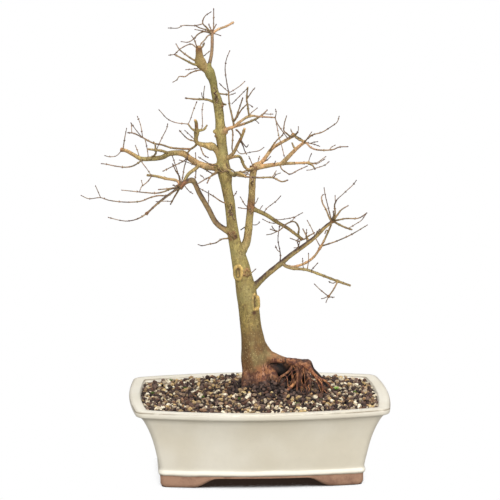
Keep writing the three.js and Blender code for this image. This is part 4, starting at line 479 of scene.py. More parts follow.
# Red-brown burrs where shoots crowd on a limb: the limb, across and up
BURRS = [
    ("crown_stub", -60, 429.5), ("left_mid", -138, 327.5), ("left_low", -79.5, 290),
    ("left_low", -75, 293), ("fan_c", -113, 263), ("right_stem", -7.5, 271), ("right_low", 75, 257),
    ("right_stem", -5, 311), ("crown_shoot", -47.5, 446), ("right_rise", 35, 342.5), ("shoulder", -63, 352),
    ("right_mid", 43, 238), ("low_out_d", 69, 180), ("hook", -17.5, 338),
]

# Healed pruning wounds on the trunk: middle across and up, half width and height, callus radius, where
# its ring starts and how far round it goes, both in degrees
SCARS = [
    (-20.8, 204.6, 3.8, 6.8, 1.7, 115, 330), (-21.1, 201, 0.4, 6, 0.9, 0, 180),
    (-4.2, 175, 2.4, 7.8, 1.5, 60, 245), (-1.4, 174.5, 1.2, 6.4, 1.6, 240, 240),
]
SCAR_STUB = {"across": -13, "up": 204.5, "back": 1, "radius": 3.2}
# Lumps of callus on the trunk: across, up and radius
SCAR_LUMPS = [
    (-14.5, 206, 1.6), (-12, 208, 1.4), (-10.4, 206.5, 1.5), (-9.8, 203.5, 1.4), (-12, 202, 1.6),
    (-15, 202.5, 1.4), (-29.5, 244, 1.6), (-27, 241.5, 1.7), (-25.5, 244.5, 1.4), (-24.5, 239.5, 1.5),
    (-28.5, 238.5, 1.4), (-42.5, 306, 1.6), (-38.5, 305.5, 1.5), (-36, 308, 1.3), (-44.3, 345.5, 2.1),
    (-43.2, 341, 1.6), (-33.4, 345, 2.3), (-34, 349, 1.6), (-36.6, 371, 1.4), (-36.4, 374, 1.1),
    (-28, 302, 1.7), (-40.5, 309, 1.6),
]
# Painted shade in clefts of the bark, and a painted shadow under a scar: across, up and back
CLEFT_SHADES = [(-54.5, 414, -12.5), (-54, 417, -12.5), (-30, 306.5, -6), (-5, 164.5, -0.8), (-23.5, 240.5, -2.5)]

# How much more orange than the trunk's the bark of the limbs is, most of all on the sunlit ones
LIMB_WARMTH = 0.3
WARMTH = {"trunk": 0, "left_mid": 0.55, **dict.fromkeys((
    "right_top", "right_fan", "right_rise", "arch", "amber", "upper_right", "second", "sweep_c", "hook",
    "bridge", "low_bar", "left_high", "slab", "top_right",
), 0.9)}
# The radius under which bark is young
OLD_RADIUS = 1.35

# Limbs with young brown or dark weathered bark, and how far it goes
YOUNG_LIMBS = {"crown_shoot": 1.0, "riser": 0.6, "left_low": 0.5, "fan_c": 0.6}
DARK_LIMBS = {
    "right_low": 0.6, "hook": 0.3, "right_mid": 0.25, "low_out": 0.2, "left_high": 0.2, "left_low": 0.55,
    "fan_c": 0.45, "riser_tip": 0.5, "low_up": 0.6, "hook_a": 0.5, "hook_b": 0.5, "hook_c": 0.5,
}

# Roots that lie in the dark hollow behind the arch, and how dark they are
SHADED_ROOTS = {
    "buttress_h": 1.0, "buttress_e": 0.5, "root_j": 0.75, "root_k": 0.75, "root_m": 0.8, "root_i": 0.6,
    "root_back": 0.35, "root_e": 0.25,
}
# Where fine roots grow: the root, from and to which share of its way, how many, and how far they spread
HAIR_ROOTS = [
    ("root_head", 0.15, 1.0, 9, 0.9), ("root_a", 0.3, 0.9, 4, 0.8), ("root_b", 0.3, 0.9, 3, 0.8),
    ("root_c", 0.3, 0.9, 3, 0.9), ("root_e", 0.3, 1.0, 4, 0.7), ("buttress_a", 0.3, 0.8, 12, 0.35),
    ("buttress_b", 0.25, 0.8, 16, 0.4), ("buttress_d", 0.3, 0.9, 12, 0.45), ("buttress_g", 0.3, 0.9, 6, 0.3),
]

ROOT_NAMES = {name for name, *_ in ROOTS}
LIMB_SEED = 4173
# How far the swollen base of a limb reaches out of what it grows from, in radii of the limb
COLLAR_REACH = 2.6
# Radii in millimetres: roots up to THIN_ROOT are tubes of their own, and the others are part of the trunk,
# limbs that start no thicker than TWIG_RADIUS are twigs, wood thinner than BUD_RADIUS has buds, and tips
# thicker than CUT_RADIUS were cut off
THIN_ROOT = 2.5
TWIG_RADIUS = 1.2
BUD_RADIUS = 1.5
CUT_RADIUS = 0.72
HAIR_RADII = (0.26, 0.32, 0.38, 0.48, 0.7)
# How far apart the points lie on the way of a limb and of a twig
LIMB_STEP = 1.2
TWIG_STEP = 0.9


def linear(red, green, blue):
    """A screen colour from 0 to 255 as the linear colour that materials use"""
    shares = (level / 255 for level in (red, green, blue))
    return tuple(s / 12.92 if s <= 0.04045 else ((s + 0.055) / 1.055) ** 2.4 for s in shares)


def tint(name, text, color):
    """A colour that a user may change"""
    return FloatVectorProperty(
        name=name, description=text, subtype="COLOR", size=3, min=0, max=1, default=linear(*color)
    )


def size(name, text, millimetres):
    """A length that a user may change"""
    return FloatProperty(name=name, description=text, subtype="DISTANCE", unit="LENGTH", min=0,
                         default=millimetres * MM)


class PotSettings(bpy.types.PropertyGroup):
    """Finish of the pot"""

    glaze: tint("Glaze", "Cream glaze where it lies thick", (219, 213, 198))
    glaze_shade: tint("Glaze shade", "Glaze where it is a little warmer", (209, 201, 182))
    glaze_edge: tint("Glaze edge", "Brown line where the glaze breaks over an edge", (108, 94, 72))
    clay: tint("Clay", "Bare fired clay of the foot", (164, 128, 104))
    clay_dark: tint("Dark clay", "Clay where it is stained", (122, 88, 70))
    waver: size("Waver", "How far the hand-pressed walls stray from true", 0.35)


class SoilSettings(bpy.types.PropertyGroup):
    """Grains and colours of the soil"""

    grain: size("Grain", "Middle size of a grain of grit", 4.9)
    pitch: size("Pitch", "Distance between grains", 3.9)
    seed: IntProperty(name="Seed", description="Start of the draws that lay the grit", default=907)
    bed: tint("Bed", "Fine dark soil between the grains", (44, 33, 28))
    moss: tint("Moss", "Moss between the grains", (104, 128, 44))
    leaf: tint("Seedling leaf", "Leaves of the small weed by the roots", (178, 206, 112))


class TreeSettings(bpy.types.PropertyGroup):
    """Bark, buds and roots"""

    low_bark: tint("Low bark", "Bark just over the roots", (108, 76, 40))
    bark: tint("Bark", "Bark of the trunk", (146, 127, 71))
    high_bark: tint("High bark", "Young pale bark of the leader", (162, 146, 86))
    warm_bark: tint("Warm bark", "Bark of the sunlit limbs", (198, 148, 104))
    twig_bark: tint("Twig bark", "Bark of the last years' twigs", (108, 86, 72))
    root_bark: tint("Root bark", "Bare roots", (158, 106, 68))
    root_dark: tint("Dark root", "Old parts of the roots", (92, 52, 38))
    callus: tint("Callus", "Wood that has grown over a wound", (204, 170, 100))
    # the wound colour also paints the shade in the clefts of the bark
    wound: tint("Wound", "Dead wood inside a healed wound", (84, 56, 32))
    cut: tint("Cut wood", "Face of a cut limb", (188, 148, 100))
    bud: tint("Bud", "Scales of a winter bud", (84, 50, 40))
    voxel: size("Voxel", "Grain of the trunk's mesh", 0.62)
    bud_length: size("Bud length", "Length of a side bud", 1.35)
    internode: size("Internode", "Distance between the nodes of a twig", 8.2)


class StageSettings(bpy.types.PropertyGroup):
    """Floor, light and camera"""

    floor: tint("Floor", "Light that the floor throws back on the plant", (142, 140, 136))
    shadow: tint("Shadow", "Darkest contact shadow under the pot", (46, 36, 30))
    camera_distance: size("Camera distance", "From the camera to the middle of the plant", FRONT_DISTANCE)
    key: FloatProperty(name="Key", description="Power of the large front light", unit="POWER",
                       default=52)
    sky: FloatProperty(name="Sky", description="Strength of the even light all round", default=0.42)


class Finish:
    """A material that is put together from texture nodes laid in the part's own coordinates"""

    def __init__(self, name, roughness):
        self.material = bpy.data.materials.new(name)
        self.material.use_nodes = True
        self.tree = self.material.node_tree
        self.shader = self.tree.nodes["Principled BSDF"]
        self.shader.inputs["Roughness"].default_value = roughness
        self.place = self.node("ShaderNodeTexCoord").outputs["Object"]

    def node(self, kind, fed=(), **settings):
        """A new node with its settings, and pairs of a socket and what is fed into it"""
        made = self.tree.nodes.new(kind)
        for key, value in settings.items():
            setattr(made, key, value)
        for socket, value in fed:
            self.feed(made.inputs[socket], value)
        return made

    def feed(self, socket, value):
        """Puts a socket's link, colour or number into another socket"""
        if isinstance(value, bpy.types.NodeSocket):
            self.tree.links.new(value, socket)
        elif isinstance(value, (int, float)):
            socket.default_value = value
        else:
            socket.default_value = (*value, 1)

    def stretched(self, x, y, z):
        """The part's coordinates, stretched along each axis"""
        mapping = self.node("ShaderNodeMapping", [("Vector", self.place)])
        mapping.inputs["Scale"].default_value = (x, y, z)
        return mapping.outputs["Vector"]

    def clouds(self, scale, detail=3.0, roughness=0.55, where=None):
        """Cloudy noise from 0 to 1, scale in clouds a metre"""
        fed = [("Vector", where or self.place), ("Scale", scale)]
        fed += [("Detail", detail), ("Roughness", roughness)]
        return self.node("ShaderNodeTexNoise", fed).outputs["Fac"]

    def cells(self, scale, where=None):
        """Distance from the middle of the nearest cell"""
        fed = [("Vector", where or self.place), ("Scale", scale)]
        return self.node("ShaderNodeTexVoronoi", fed).outputs["Distance"]

    def value(self, name):
        """A value that the mesh holds at each point"""
        return self.node("ShaderNodeAttribute", attribute_name=name).outputs["Fac"]

    def height(self):
        """Height over the ground, in metres"""
        return self.node("ShaderNodeSeparateXYZ", [("Vector", self.place)]).outputs["Z"]

    def span(self, value, low, high, out_low=0.0, out_high=1.0):
        """A value moved smoothly from one span to another"""
        fed = enumerate((value, low, high, out_low, out_high))
        return self.node("ShaderNodeMapRange", fed, interpolation_type="SMOOTHSTEP").outputs["Result"]

    def maths(self, operation, one, other):
        """Two values put together by an arithmetic operation"""
        return self.node("ShaderNodeMath", enumerate((one, other)), operation=operation).outputs["Value"]

    def times(self, one, other):
        """Two values multiplied"""
        return self.maths("MULTIPLY", one, other)

    def mix(self, share, one, other, blend_type="MIX"):
        """Two colours mixed by a share"""
        fed = [("Factor", share), (6, one), (7, other)]
        return self.node("ShaderNodeMix", fed, data_type="RGBA", blend_type=blend_type).outputs[2]

    def ramp(self, share, stops, interpolation="LINEAR"):
        """A colour from a ramp of (place, colour) stops"""
        ramp = self.node("ShaderNodeValToRGB")
        ramp.color_ramp.interpolation = interpolation
        elements = ramp.color_ramp.elements
        elements.remove(elements[1])
        elements[0].position, elements[0].color = stops[0][0], (*stops[0][1], 1)
        for place, color in stops[1:]:
            elements.new(place).color = (*color, 1)
        self.feed(ramp.inputs["Fac"], share)
        return ramp.outputs["Color"]

    def times_grey(self, color, share, dark, light, low=0.25, high=0.75):
        """A colour multiplied by a grey that goes from dark to light as a share rises"""
        grey = self.ramp(share, [(low, (dark,) * 3), (high, (light,) * 3)])
        return self.mix(1.0, color, grey, "MULTIPLY")

    def closeness(self, reach, samples):
        """A value that falls where other surfaces stand close, within a reach in millimetres"""
        fed = [("Distance", reach * MM)]
        return self.node("ShaderNodeAmbientOcclusion", fed, samples=samples).outputs["AO"]

    def crevice_shaded(self, color, reach, dark):
        """A colour with painted shade where other surfaces stand close"""
        return self.times_grey(color, self.closeness(reach, 8), dark, 1, 0.12, 0.72)

    def color(self, value):
        """Sets the colour of the surface"""
        self.feed(self.shader.inputs["Base Color"], value)

    def bump(self, *layers):
        """Adds relief in layers of (height, strength, depth in millimetres)"""
        under = []
        for height, strength, depth in layers:
            fed = [("Strength", strength), ("Distance", depth * MM), ("Height", height), *under]
            under = [("Normal", self.node("ShaderNodeBump", fed).outputs["Normal"])]
        self.feed(self.shader.inputs["Normal"], under[0][1])


class Skin:
    """The points and faces of one piece while it is put together, in metres"""

    def __init__(self):
        self.spots = []
        self.faces = []
        self.values = {}
        self.count = 0

    def add(self, spots, faces, **values):
        """Adds points, faces that count from the first of them, and a value for each point"""
        start = self.count
        self.spots.append(np.asarray(spots, float))
        self.faces.extend(tuple(start + i for i in face) for face in faces)
        self.count += len(spots)
        for name, value in values.items():
            kept = self.values.setdefault(name, [])
            kept.append((start, np.broadcast_to(np.asarray(value, float), len(spots))))

    def make(self, name, material, smooth=True):
        """The piece as an object in the scene"""
        mesh = bpy.data.meshes.new(name)
        mesh.from_pydata(np.vstack(self.spots).tolist(), [], self.faces)
        for value_name, parts in self.values.items():
            whole = np.zeros(self.count, np.float32)
            for start, values in parts:
                whole[start:start + len(values)] = values
            give_value(mesh, value_name, whole)
        return make_object(name, mesh, material, smooth)


def make_object(name, mesh, material, smooth=True):
    """An object with its mesh, finish and shading, linked to the scene"""
    mesh.materials.clear()
    mesh.materials.append(material)
    mesh.shade_smooth() if smooth else mesh.shade_flat()
    mesh.validate()
    piece = bpy.data.objects.new(name, mesh)
    bpy.context.scene.collection.objects.link(piece)
    return piece


def settle(piece, slot, *nodes):
    """Lets a piece ride on the part's one body and hides the nodes that it stands for; the slot is not used
    """
    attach(piece, "root")
    if nodes:
        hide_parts(*nodes)


def frozen(piece):
    """The piece's mesh with its modifiers applied"""
    bpy.context.view_layer.update()
    evaluated = piece.evaluated_get(bpy.context.evaluated_depsgraph_get())
    return bpy.data.meshes.new_from_object(evaluated)


def spots_of(mesh):
    """The points of a mesh as rows of numbers"""
    spots = np.zeros(len(mesh.vertices) * 3, np.float32)
    mesh.vertices.foreach_get("co", spots)
    return spots.reshape(-1, 3).astype(float)


def normals_of(mesh):
    """The normal at each point of a mesh"""
    normals = np.zeros(len(mesh.vertices) * 3, np.float32)
    mesh.vertex_normals.foreach_get("vector", normals)
    return normals.reshape(-1, 3).astype(float)


def unit(values):
    """Values held between 0 and 1"""
    return np.clip(values, 0, 1)


def give_value(mesh, name, values):
    """Gives a mesh a value for each point, for its finish to read"""
    mesh.attributes.new(name, "FLOAT", "POINT").data.foreach_set("value", np.asarray(values, np.float32))


def find_nearest(places, spots):
    """Which of some places lies nearest to each spot, and how far away it is in metres"""
    tree = KDTree(len(places))
    for number, place in enumerate(places):
        tree.insert(place, number)
    tree.balance()
    found = [tree.find(spot) for spot in spots.tolist()]
    return [number for _, number, _ in found], np.array([gap for _, _, gap in found])


def gaps_to(places, spots):
    """How far each spot lies from the nearest of some places, in metres"""
    return find_nearest(places, spots)[1]


def rough(spots, scale, seed=0.0):
    """Smooth noise from -1 to 1 at each point, with scale in waves a metre along each axis"""
    scaled = spots * np.asarray(scale) + seed
    return np.array([noise.noise(spot) for spot in scaled.tolist()])


def spline(points, step):
    """A smooth way through points as centripetal arcs, with a point about every step"""
    spots = np.asarray(points, float)
    spots = np.vstack([2 * spots[0] - spots[1], spots, 2 * spots[-1] - spots[-2]])
    way = []
    for before, start, end, after in zip(spots, spots[1:], spots[2:], spots[3:]):
        ends = ((before, start), (start, end), (end, after))
        knots = np.cumsum([0.0] + [max(np.linalg.norm(b - a) ** 0.5, 1e-3) for a, b in ends])
        t0, t1, t2, t3 = knots
        count = max(round(np.linalg.norm(end - start) / step), 1)
        t = np.linspace(t1, t2, count, endpoint=False)[:, None]
        first = (t1 - t) / (t1 - t0) * before + (t - t0) / (t1 - t0) * start
        second = (t2 - t) / (t2 - t1) * start + (t - t1) / (t2 - t1) * end
        third = (t3 - t) / (t3 - t2) * end + (t - t2) / (t3 - t2) * after
        left = (t2 - t) / (t2 - t0) * first + (t - t0) / (t2 - t0) * second
        right = (t3 - t) / (t3 - t1) * second + (t - t1) / (t3 - t1) * third
        way.append((t2 - t) / (t2 - t1) * left + (t - t1) / (t2 - t1) * right)
    way.append(spots[-2][None])
    return np.vstack(way)


def standing(view):
    """Places in metres of rows of across, up and back in the tree's front view"""
    across, up, back = np.asarray(view, float).T[:3]
    sin, cos = math.sin(FRONT_TILT), math.cos(FRONT_TILT)
    rise = (up - FRONT_LEVEL) / FRONT_DISTANCE
    lift = (rise * (FRONT_DISTANCE + back * cos) - back * sin) / (cos + rise * sin)
    right = across * (FRONT_DISTANCE - lift * sin + back * cos) / FRONT_DISTANCE
    x = right * math.cos(FRONT_TURN) + back * math.sin(FRONT_TURN)
    y = back * math.cos(FRONT_TURN) - right * math.sin(FRONT_TURN)
    return np.column_stack([x, y, FRONT_LEVEL + lift]) * MM + POT_PLACE


class Limb:
    """A limb's way in the front view, its way in space and its radii, in metres"""

    def __init__(self, name, parent, points, step):
        self.name = name
        self.parent = parent
        self.view = spline(points, step)
        for knuckle, across, up, radius in KNUCKLES:
            if knuckle == name:
                gaps = np.hypot(self.view[:, 0] - across, self.view[:, 1] - up)
                self.view[:, 3] += (radius - self.view[:, 3]) * np.exp(-((gaps / (1.1 * radius)) ** 2))
        self.way = standing(self.view)
        self.radii = self.view[:, 3] * MM
        steps = np.linalg.norm(np.diff(self.way, axis=0), axis=1)
        self.along = np.concatenate([[0], np.cumsum(steps)])

    def nearest(self, across, up):
        """The index of the point whose front view lies nearest"""
        return int(np.argmin(np.hypot(self.view[:, 0] - across, self.view[:, 1] - up)))

    def radius_under(self, limb):
        """The radius where another limb grows from this one"""
        return self.radii[self.nearest(*limb.view[0][:2])]


def lay_out():
    """Every limb of the tree by name, each on the axis of what it grows from"""
    limbs = {"trunk": Limb("trunk", None, TRUNK, LIMB_STEP)}
    twigs = [(f"twig_{number}", *twig) for number, twig in enumerate(TWIGS)]
    for name, parent, root_radius, tip_radius, back, points in ROOTS + LIMBS + twigs:
        start = limbs[parent].view[limbs[parent].nearest(*points[0])]
        last = len(points) - 1
        laid = [
            (across, up, start[2] + back * i / last, root_radius + (tip_radius - root_radius) * i / last)
            for i, (across, up) in enumerate(points)
        ]
        laid[0] = (start[0], start[1], start[2], root_radius)
        limbs[name] = Limb(name, parent, laid, LIMB_STEP if root_radius > TWIG_RADIUS else TWIG_STEP)
    return limbs


def frames_along(way):
    """The side and the other side of a way at each of its points, without twist"""
    tangents = np.gradient(way, axis=0)
    tangents /= np.linalg.norm(tangents, axis=1)[:, None]
    side = np.cross(tangents[0], (0.0, 0.0, 1.0))
    if np.linalg.norm(side) < 0.1:
        side = np.cross(tangents[0], (0.0, 1.0, 0.0))
    sides = []
    for tangent in tangents:
        side = side - tangent * (side @ tangent)
        side = side / np.linalg.norm(side)
        sides.append(side)
    sides = np.array(sides)
    return tangents, sides, np.cross(tangents, sides)


def bridge_rings(rings, points):
    """Faces between rings of as many points, and to the two points after them that close the ends"""
    faces = []
    for ring in range(rings - 1):
        low = ring * points
        for i in range(points):
            j = (i + 1) % points
            faces.append((low + i, low + j, low + points + j, low + points + i))
    start, end = rings * points, rings * points + 1
    last = (rings - 1) * points
    faces += [(start, (i + 1) % points, i) for i in range(points)]
    faces += [(last + i, last + (i + 1) % points, end) for i in range(points)]
    return faces


def add_tube(skin, way, radii, sides, cut=False, **values):
    """Adds a closed tube along a way, with a pale end face if its end was cut"""
    tangents, one, other = frames_along(way)
    turns = np.arange(sides) * 2 * math.pi / sides
    circle = np.cos(turns)[:, None, None] * one + np.sin(turns)[:, None, None] * other
    spots = [(way + radii[:, None] * circle).transpose(1, 0, 2).reshape(-1, 3)]
    rings = list(range(len(way)))
    if cut:
        # an inner ring, so that the pale wood stops short of the bark round it
        spots.append(way[-1] + 0.82 * radii[-1] * circle[:, -1] + 0.12 * radii[-1] * tangents[-1])
        rings.append(rings[-1])
    start = way[0] - 0.3 * radii[0] * tangents[0]
    tip = way[-1] + (0.05 if cut else 0.6) * radii[-1] * tangents[-1]
    # the point of the way that each point of the tube gets its values from
    source = np.append(np.repeat(rings, sides), [0, -1])
    values = {name: np.broadcast_to(value, len(way))[source] for name, value in values.items()}
    pale = np.zeros(len(source))
    if cut:
        pale[len(way) * sides:] = 1
        pale[-2] = 0
    skin.add(np.vstack([*spots, start, tip]), bridge_rings(len(rings), sides), cut=pale, **values)


def pot_ring(flare, margin):
    """The pot's outline at a flare, set out by a margin, as rows of millimetres from its middle"""
    shape = {key: FOOT_SHAPE[key] + (RIM_SHAPE[key] - FOOT_SHAPE[key]) * flare for key in FOOT_SHAPE}
    length, width = shape["length"] + margin, shape["width"] + margin
    corner = max(shape["corner"] + margin, 2)
    signs = ((1, 1), (-1, 1), (-1, -1), (1, -1))
    ring = []
    for quarter in range(4):
        middle = np.multiply(signs[quarter], (length - corner, width - corner))
        after = np.multiply(signs[(quarter + 1) % 4], (length - corner, width - corner))
        for i in range(CORNER_POINTS):
            angle = (quarter + i / CORNER_POINTS) * math.pi / 2
            ring.append(middle + corner * np.array([math.cos(angle), math.sin(angle)]))
        angle = (quarter + 1) * math.pi / 2
        edge = corner * np.array([math.cos(angle), math.sin(angle)])
        points = SIDE_POINTS if quarter % 2 == 0 else END_POINTS
        ring += [middle + (after - middle) * i / points + edge for i in range(points)]
    ring = np.array(ring)
    ends = 1 - shape["ends"] * (ring[:, 1] / width) ** 2 / length
    sides = 1 - shape["sides"] * (ring[:, 0] / length) ** 2 / width
    return ring * np.column_stack([ends, sides])


def gate_heights(ring):
    """How high the foot is cut away at each point of a ring, in millimetres"""
    heights = np.zeros(len(ring))
    start = 0
    for quarter in range(4):
        start += CORNER_POINTS
        points, gate, axis = (SIDE_POINTS, SIDE_GATE, 0) if quarter % 2 == 0 else (END_POINTS, END_GATE, 1)
        offsets = np.abs(ring[start:start + points, axis])
        share = unit((gate["foot"] - offsets) / (gate["foot"] - gate["crown"]))
        heights[start:start + points] = FOOT_RECESS * share * share * (3 - 2 * share)
        start += points
    return heights


def pot_rings():
    """Rings of the pot's skin from the middle of its underside, up its outside, over the rim and down to
    the middle of its floor: points in millimetres, and how much each ring lies on an edge"""
    rings = []

    def add(outline, heights, edge=0):
        rings.append((np.column_stack([outline, np.broadcast_to(heights, len(outline))]), edge))

    foot = pot_ring(SOLE_FLARE, -FOOT_WALL)
    gate = gate_heights(pot_ring(SOLE_FLARE, 0))
    for share in (0.25, 0.5, 0.75, 0.94, 1):
        add(foot * share, FOOT_RECESS + 0.3)
    add(foot, gate + 0.2)
    add(pot_ring(FLARE[0][1], 1.2 - FOOT_WALL), gate)
    spread = HALF_LENGTH - FOOT_SHAPE["length"]
    for height, flare in spline([(height, flare * spread) for height, flare in FLARE], 1.1):
        squeeze = gate * max(1 - height / GLAZE_EDGE, 0)
        add(pot_ring(flare / spread, 0), height + squeeze, math.exp(-(((height - RIM_LINE) / 0.5) ** 2)))
    # over the flat rim: how far in, how far down, and how much of an edge
    for margin, drop, edge in (
        (-2.5, 0.05, 0), (-5.5, 0, 0), (1.6 - RIM_WIDTH, -0.05, 0.1), (0.9 - RIM_WIDTH, -0.25, 1),
        (0.4 - RIM_WIDTH, -0.8, 0.9), (0.2 - RIM_WIDTH, -1.6, 0),
    ):
        add(pot_ring(RIM_FLARE, margin), RIM_HEIGHT + drop, edge)
    # down the inside: height, flare and how far in
    for height, flare, margin in (
        (75.2, 0.94, -11.2), (70, 0.72, -8.6), (66, 0.575, -WALL), (56, 0.4, -WALL), (48, 0.275, -WALL),
        (36, 0.15, -WALL), (26, 0.05, -WALL), (19, 0, -WALL), (16, -0.02, -WALL - 1.5),
    ):
        add(pot_ring(flare, margin), height)
    for share in (1, 0.75, 0.5, 0.25):
        add(pot_ring(FLOOR_FLARE, FLOOR_MARGIN) * share, FLOOR_TOP)
    return rings


def glaze_finish(pot):
    """Cream glaze that breaks brown over the edges, on bare clay, with painted highlights on the bead and the
    lip
    """
    finish = Finish("cream_glaze", 0.3)
    wave = finish.times(finish.maths("SUBTRACT", finish.clouds(45, 2), 0.5), 0.0022)
    level = finish.maths("ADD", finish.height(), wave)
    edge = GLAZE_EDGE * MM
    bare = finish.span(level, edge - 0.0004, edge + 0.0004, 1, 0)
    thin = finish.span(level, edge, edge + 0.0022, 0.55, 0)
    pooled_and_highlit = finish.mix(finish.span(finish.clouds(14, 2), 0.35, 0.7), pot.glaze, pot.glaze_shade)
    # painted highlights: the bead near the foot and the lip are painted paler, as where they catch the light
    roll = finish.times(finish.span(level, 0.0125, 0.0145), finish.span(level, 0.017, 0.0185, 1, 0))
    lip = finish.span(level, 0.0725, 0.0745, 0, 0.12)
    pooled_and_highlit = finish.mix(finish.maths("MAXIMUM", roll, lip), pooled_and_highlit, linear(240, 235, 220))
    mottled = finish.times_grey(pooled_and_highlit, finish.clouds(160, 3), 0.965, 1.0)
    specks = finish.span(finish.cells(260), 0.035, 0.075, 0.35, 0)
    specked = finish.mix(specks, mottled, pot.glaze_edge)
    broken = finish.times(finish.value("edge"), finish.span(finish.clouds(90, 2), 0.3, 0.5, 0.6, 1))
    lined = finish.mix(finish.maths("MAXIMUM", broken, thin), specked, pot.glaze_edge)
    stain = finish.span(finish.clouds(60, 4, 0.65), 0.42, 0.72, 0, 0.8)
    clay = finish.mix(stain, pot.clay, pot.clay_dark)
    grog = finish.times_grey(clay, finish.clouds(900, 2), 0.85, 1.08)
    finish.color(finish.mix(bare, lined, grog))
    finish.feed(finish.shader.inputs["Roughness"], finish.span(bare, 0, 1, 0.3, 0.85))
    gritty = finish.times(bare, finish.clouds(1100, 3))
    finish.bump((finish.clouds(70, 2), 0.12, 0.6), (finish.clouds(420, 2), 0.05, 0.2), (gritty, 0.5, 0.25))
    return finish.material


class BONSAI_OT_pot(bpy.types.Operator):
    """Builds the glazed pot with its bowed sides, rolled lip, bare foot and drain holes"""

    bl_idname = "bonsai.pot"
    bl_label = "Pot"

    def execute(self, context):
        pot = context.scene.bonsai_pot
        rings = pot_rings()
        points = len(rings[0][0])
        spots = np.vstack([ring for ring, _ in rings])
        edges = np.concatenate([np.full(points, edge) for _, edge in rings] + [[0, 0]])
        worn = np.hypot(*(spots[:, :2] / (HALF_LENGTH, HALF_WIDTH)).T)
        edges[:-2] *= np.clip((worn - 0.85) / 0.3, 0.3, 1)
        caps = [(0, 0, rings[0][0][0, 2]), (0, 0, rings[-1][0][0, 2])]
        spots = np.vstack([spots, caps])
        waver = pot.waver / MM * unit(spots[:, 2] / 30)
        spots[:, 0] += waver * rough(spots, 0.016, 3.1)
        spots[:, 1] += waver * rough(spots, 0.016, 8.4)
        skin = Skin()
        skin.add(spots * MM + POT_PLACE, bridge_rings(len(rings), points), edge=edges)
        body = skin.make("pot_body", glaze_finish(pot))
        for side in (-1, 1):
            place = np.array([side * DRAIN_OFFSET, 0, FLOOR_TOP]) * MM + POT_PLACE
            bpy.ops.mesh.primitive_cylinder_add(
                vertices=48, radius=DRAIN_RADIUS * MM, depth=4 * FLOOR_TOP * MM, location=place
            )
            drill = context.object
            cut = body.modifiers.new("drain", "BOOLEAN")
            cut.operation = "DIFFERENCE"
            cut.solver = "MANIFOLD"
            cut.object = drill
            drilled = frozen(body)
            body.modifiers.clear()
            body.data = drilled
            bpy.data.objects.remove(drill)
        body.data.shade_smooth()
        settle(body, "glazed_stoneware", "pot")
        return {"FINISHED"}


class BONSAI_OT_screens(bpy.types.Operator):
    """Gives the drainage screens their woven plastic finish"""

    bl_idname = "bonsai.screens"
    bl_label = "Drainage screens"

    def execute(self, context):
        finish = Finish("net_plastic", 0.55)
        dust = finish.span(finish.clouds(300, 3), 0.5, 0.75)
        finish.color(finish.mix(dust, linear(34, 38, 36), linear(92, 78, 62)))
        finish.bump((finish.clouds(1500, 2), 0.3, 0.1))
        for node in ("drain_screen_left", "drain_screen_right"):
            screen = frame["nodes"][node]
            screen.data.materials.clear()
            screen.data.materials.append(finish.material)
        return {"FINISHED"}


def soil_level(x, y):
    """The soil's height at places in millimetres from the pot's middle, in millimetres"""
    level = SOIL_EDGE
    for mound in SOIL_MOUNDS:
        far = ((x - mound["across"]) / mound["length"]) ** 2 + ((y - mound["back"]) / mound["width"]) ** 2
        level = level + mound["height"] * np.exp(-far)
    return level


def inside_rim(x, y, margin):
    """Which places, in millimetres from the pot's middle, lie inside the rim by a margin"""
    length = RIM_SHAPE["length"] - RIM_WIDTH - margin
    width = RIM_SHAPE["width"] - RIM_WIDTH - margin
    ends = length - RIM_SHAPE["ends"] * (y / width) ** 2
    sides = width - RIM_SHAPE["sides"] * (x / length) ** 2
    return (np.abs(x) < ends) & (np.abs(y) < sides)


class BONSAI_OT_soil_bed(bpy.types.Operator):
    """Builds the fine dark soil that the grit lies in"""

    bl_idname = "bonsai.soil_bed"
    bl_label = "Soil bed"

    def execute(self, context):
        soil = context.scene.bonsai_soil
        rim = pot_ring(RIM_FLARE, -RIM_WIDTH - 0.4)
        shares = np.linspace(1, 0, BED_RINGS, endpoint=False)
        tops = np.vstack([rim * share for share in shares])
        level = soil_level(tops[:, 0], tops[:, 1]) - BED_DROP
        level += 1.1 * rough(np.column_stack([tops, level]), 0.16)
        low = pot_ring(0.5, -WALL - 0.6)
        base = pot_ring(-0.02, -WALL - 4.5)
        spots = [
            np.column_stack([base, np.full(len(base), FLOOR_TOP + 1.8)]),
            np.column_stack([low, np.full(len(low), 61)]),
            np.column_stack([tops, level]),
            [(0, 0, FLOOR_TOP + 1.8), (0, 0, float(soil_level(0, 0)) - BED_DROP)],
        ]
        finish = Finish("soil_bed", 0.95)
        finish.color(finish.times_grey(soil.bed, finish.clouds(500, 4), 0.6, 1.5))
        finish.bump((finish.clouds(420, 4), 0.9, 1.2), (finish.cells(700), 0.5, 0.6))
        skin = Skin()
        skin.add(np.vstack(spots) * MM + POT_PLACE, bridge_rings(BED_RINGS + 2, len(rim)))
        settle(skin.make("soil_bed", finish.material), "grit_soil", "soil")
        return {"FINISHED"}


def pebbles(rng, count, detail):
    """Rough angular pebbles about one unit long, each as its points, and the faces they share"""
    mesh = bmesh.new()
    bmesh.ops.create_icosphere(mesh, subdivisions=detail, radius=1)
    ball = np.array([vert.co[:] for vert in mesh.verts])
    faces = np.array([[vert.index for vert in face.verts] for face in mesh.faces])
    mesh.free()
    shapes = []
    for _ in range(count):
        spots = ball * rng.uniform(0.86, 1.1, (len(ball), 1))
        for normal in rng.normal(size=(8, 3)):
            normal /= np.linalg.norm(normal)
            excess = np.clip(spots @ normal - rng.uniform(0.48, 0.82), 0, None)
            spots = spots - excess[:, None] * normal
        shapes.append(spots * (0.5, rng.uniform(0.36, 0.48), rng.uniform(0.27, 0.42)))
    return np.array(shapes), faces


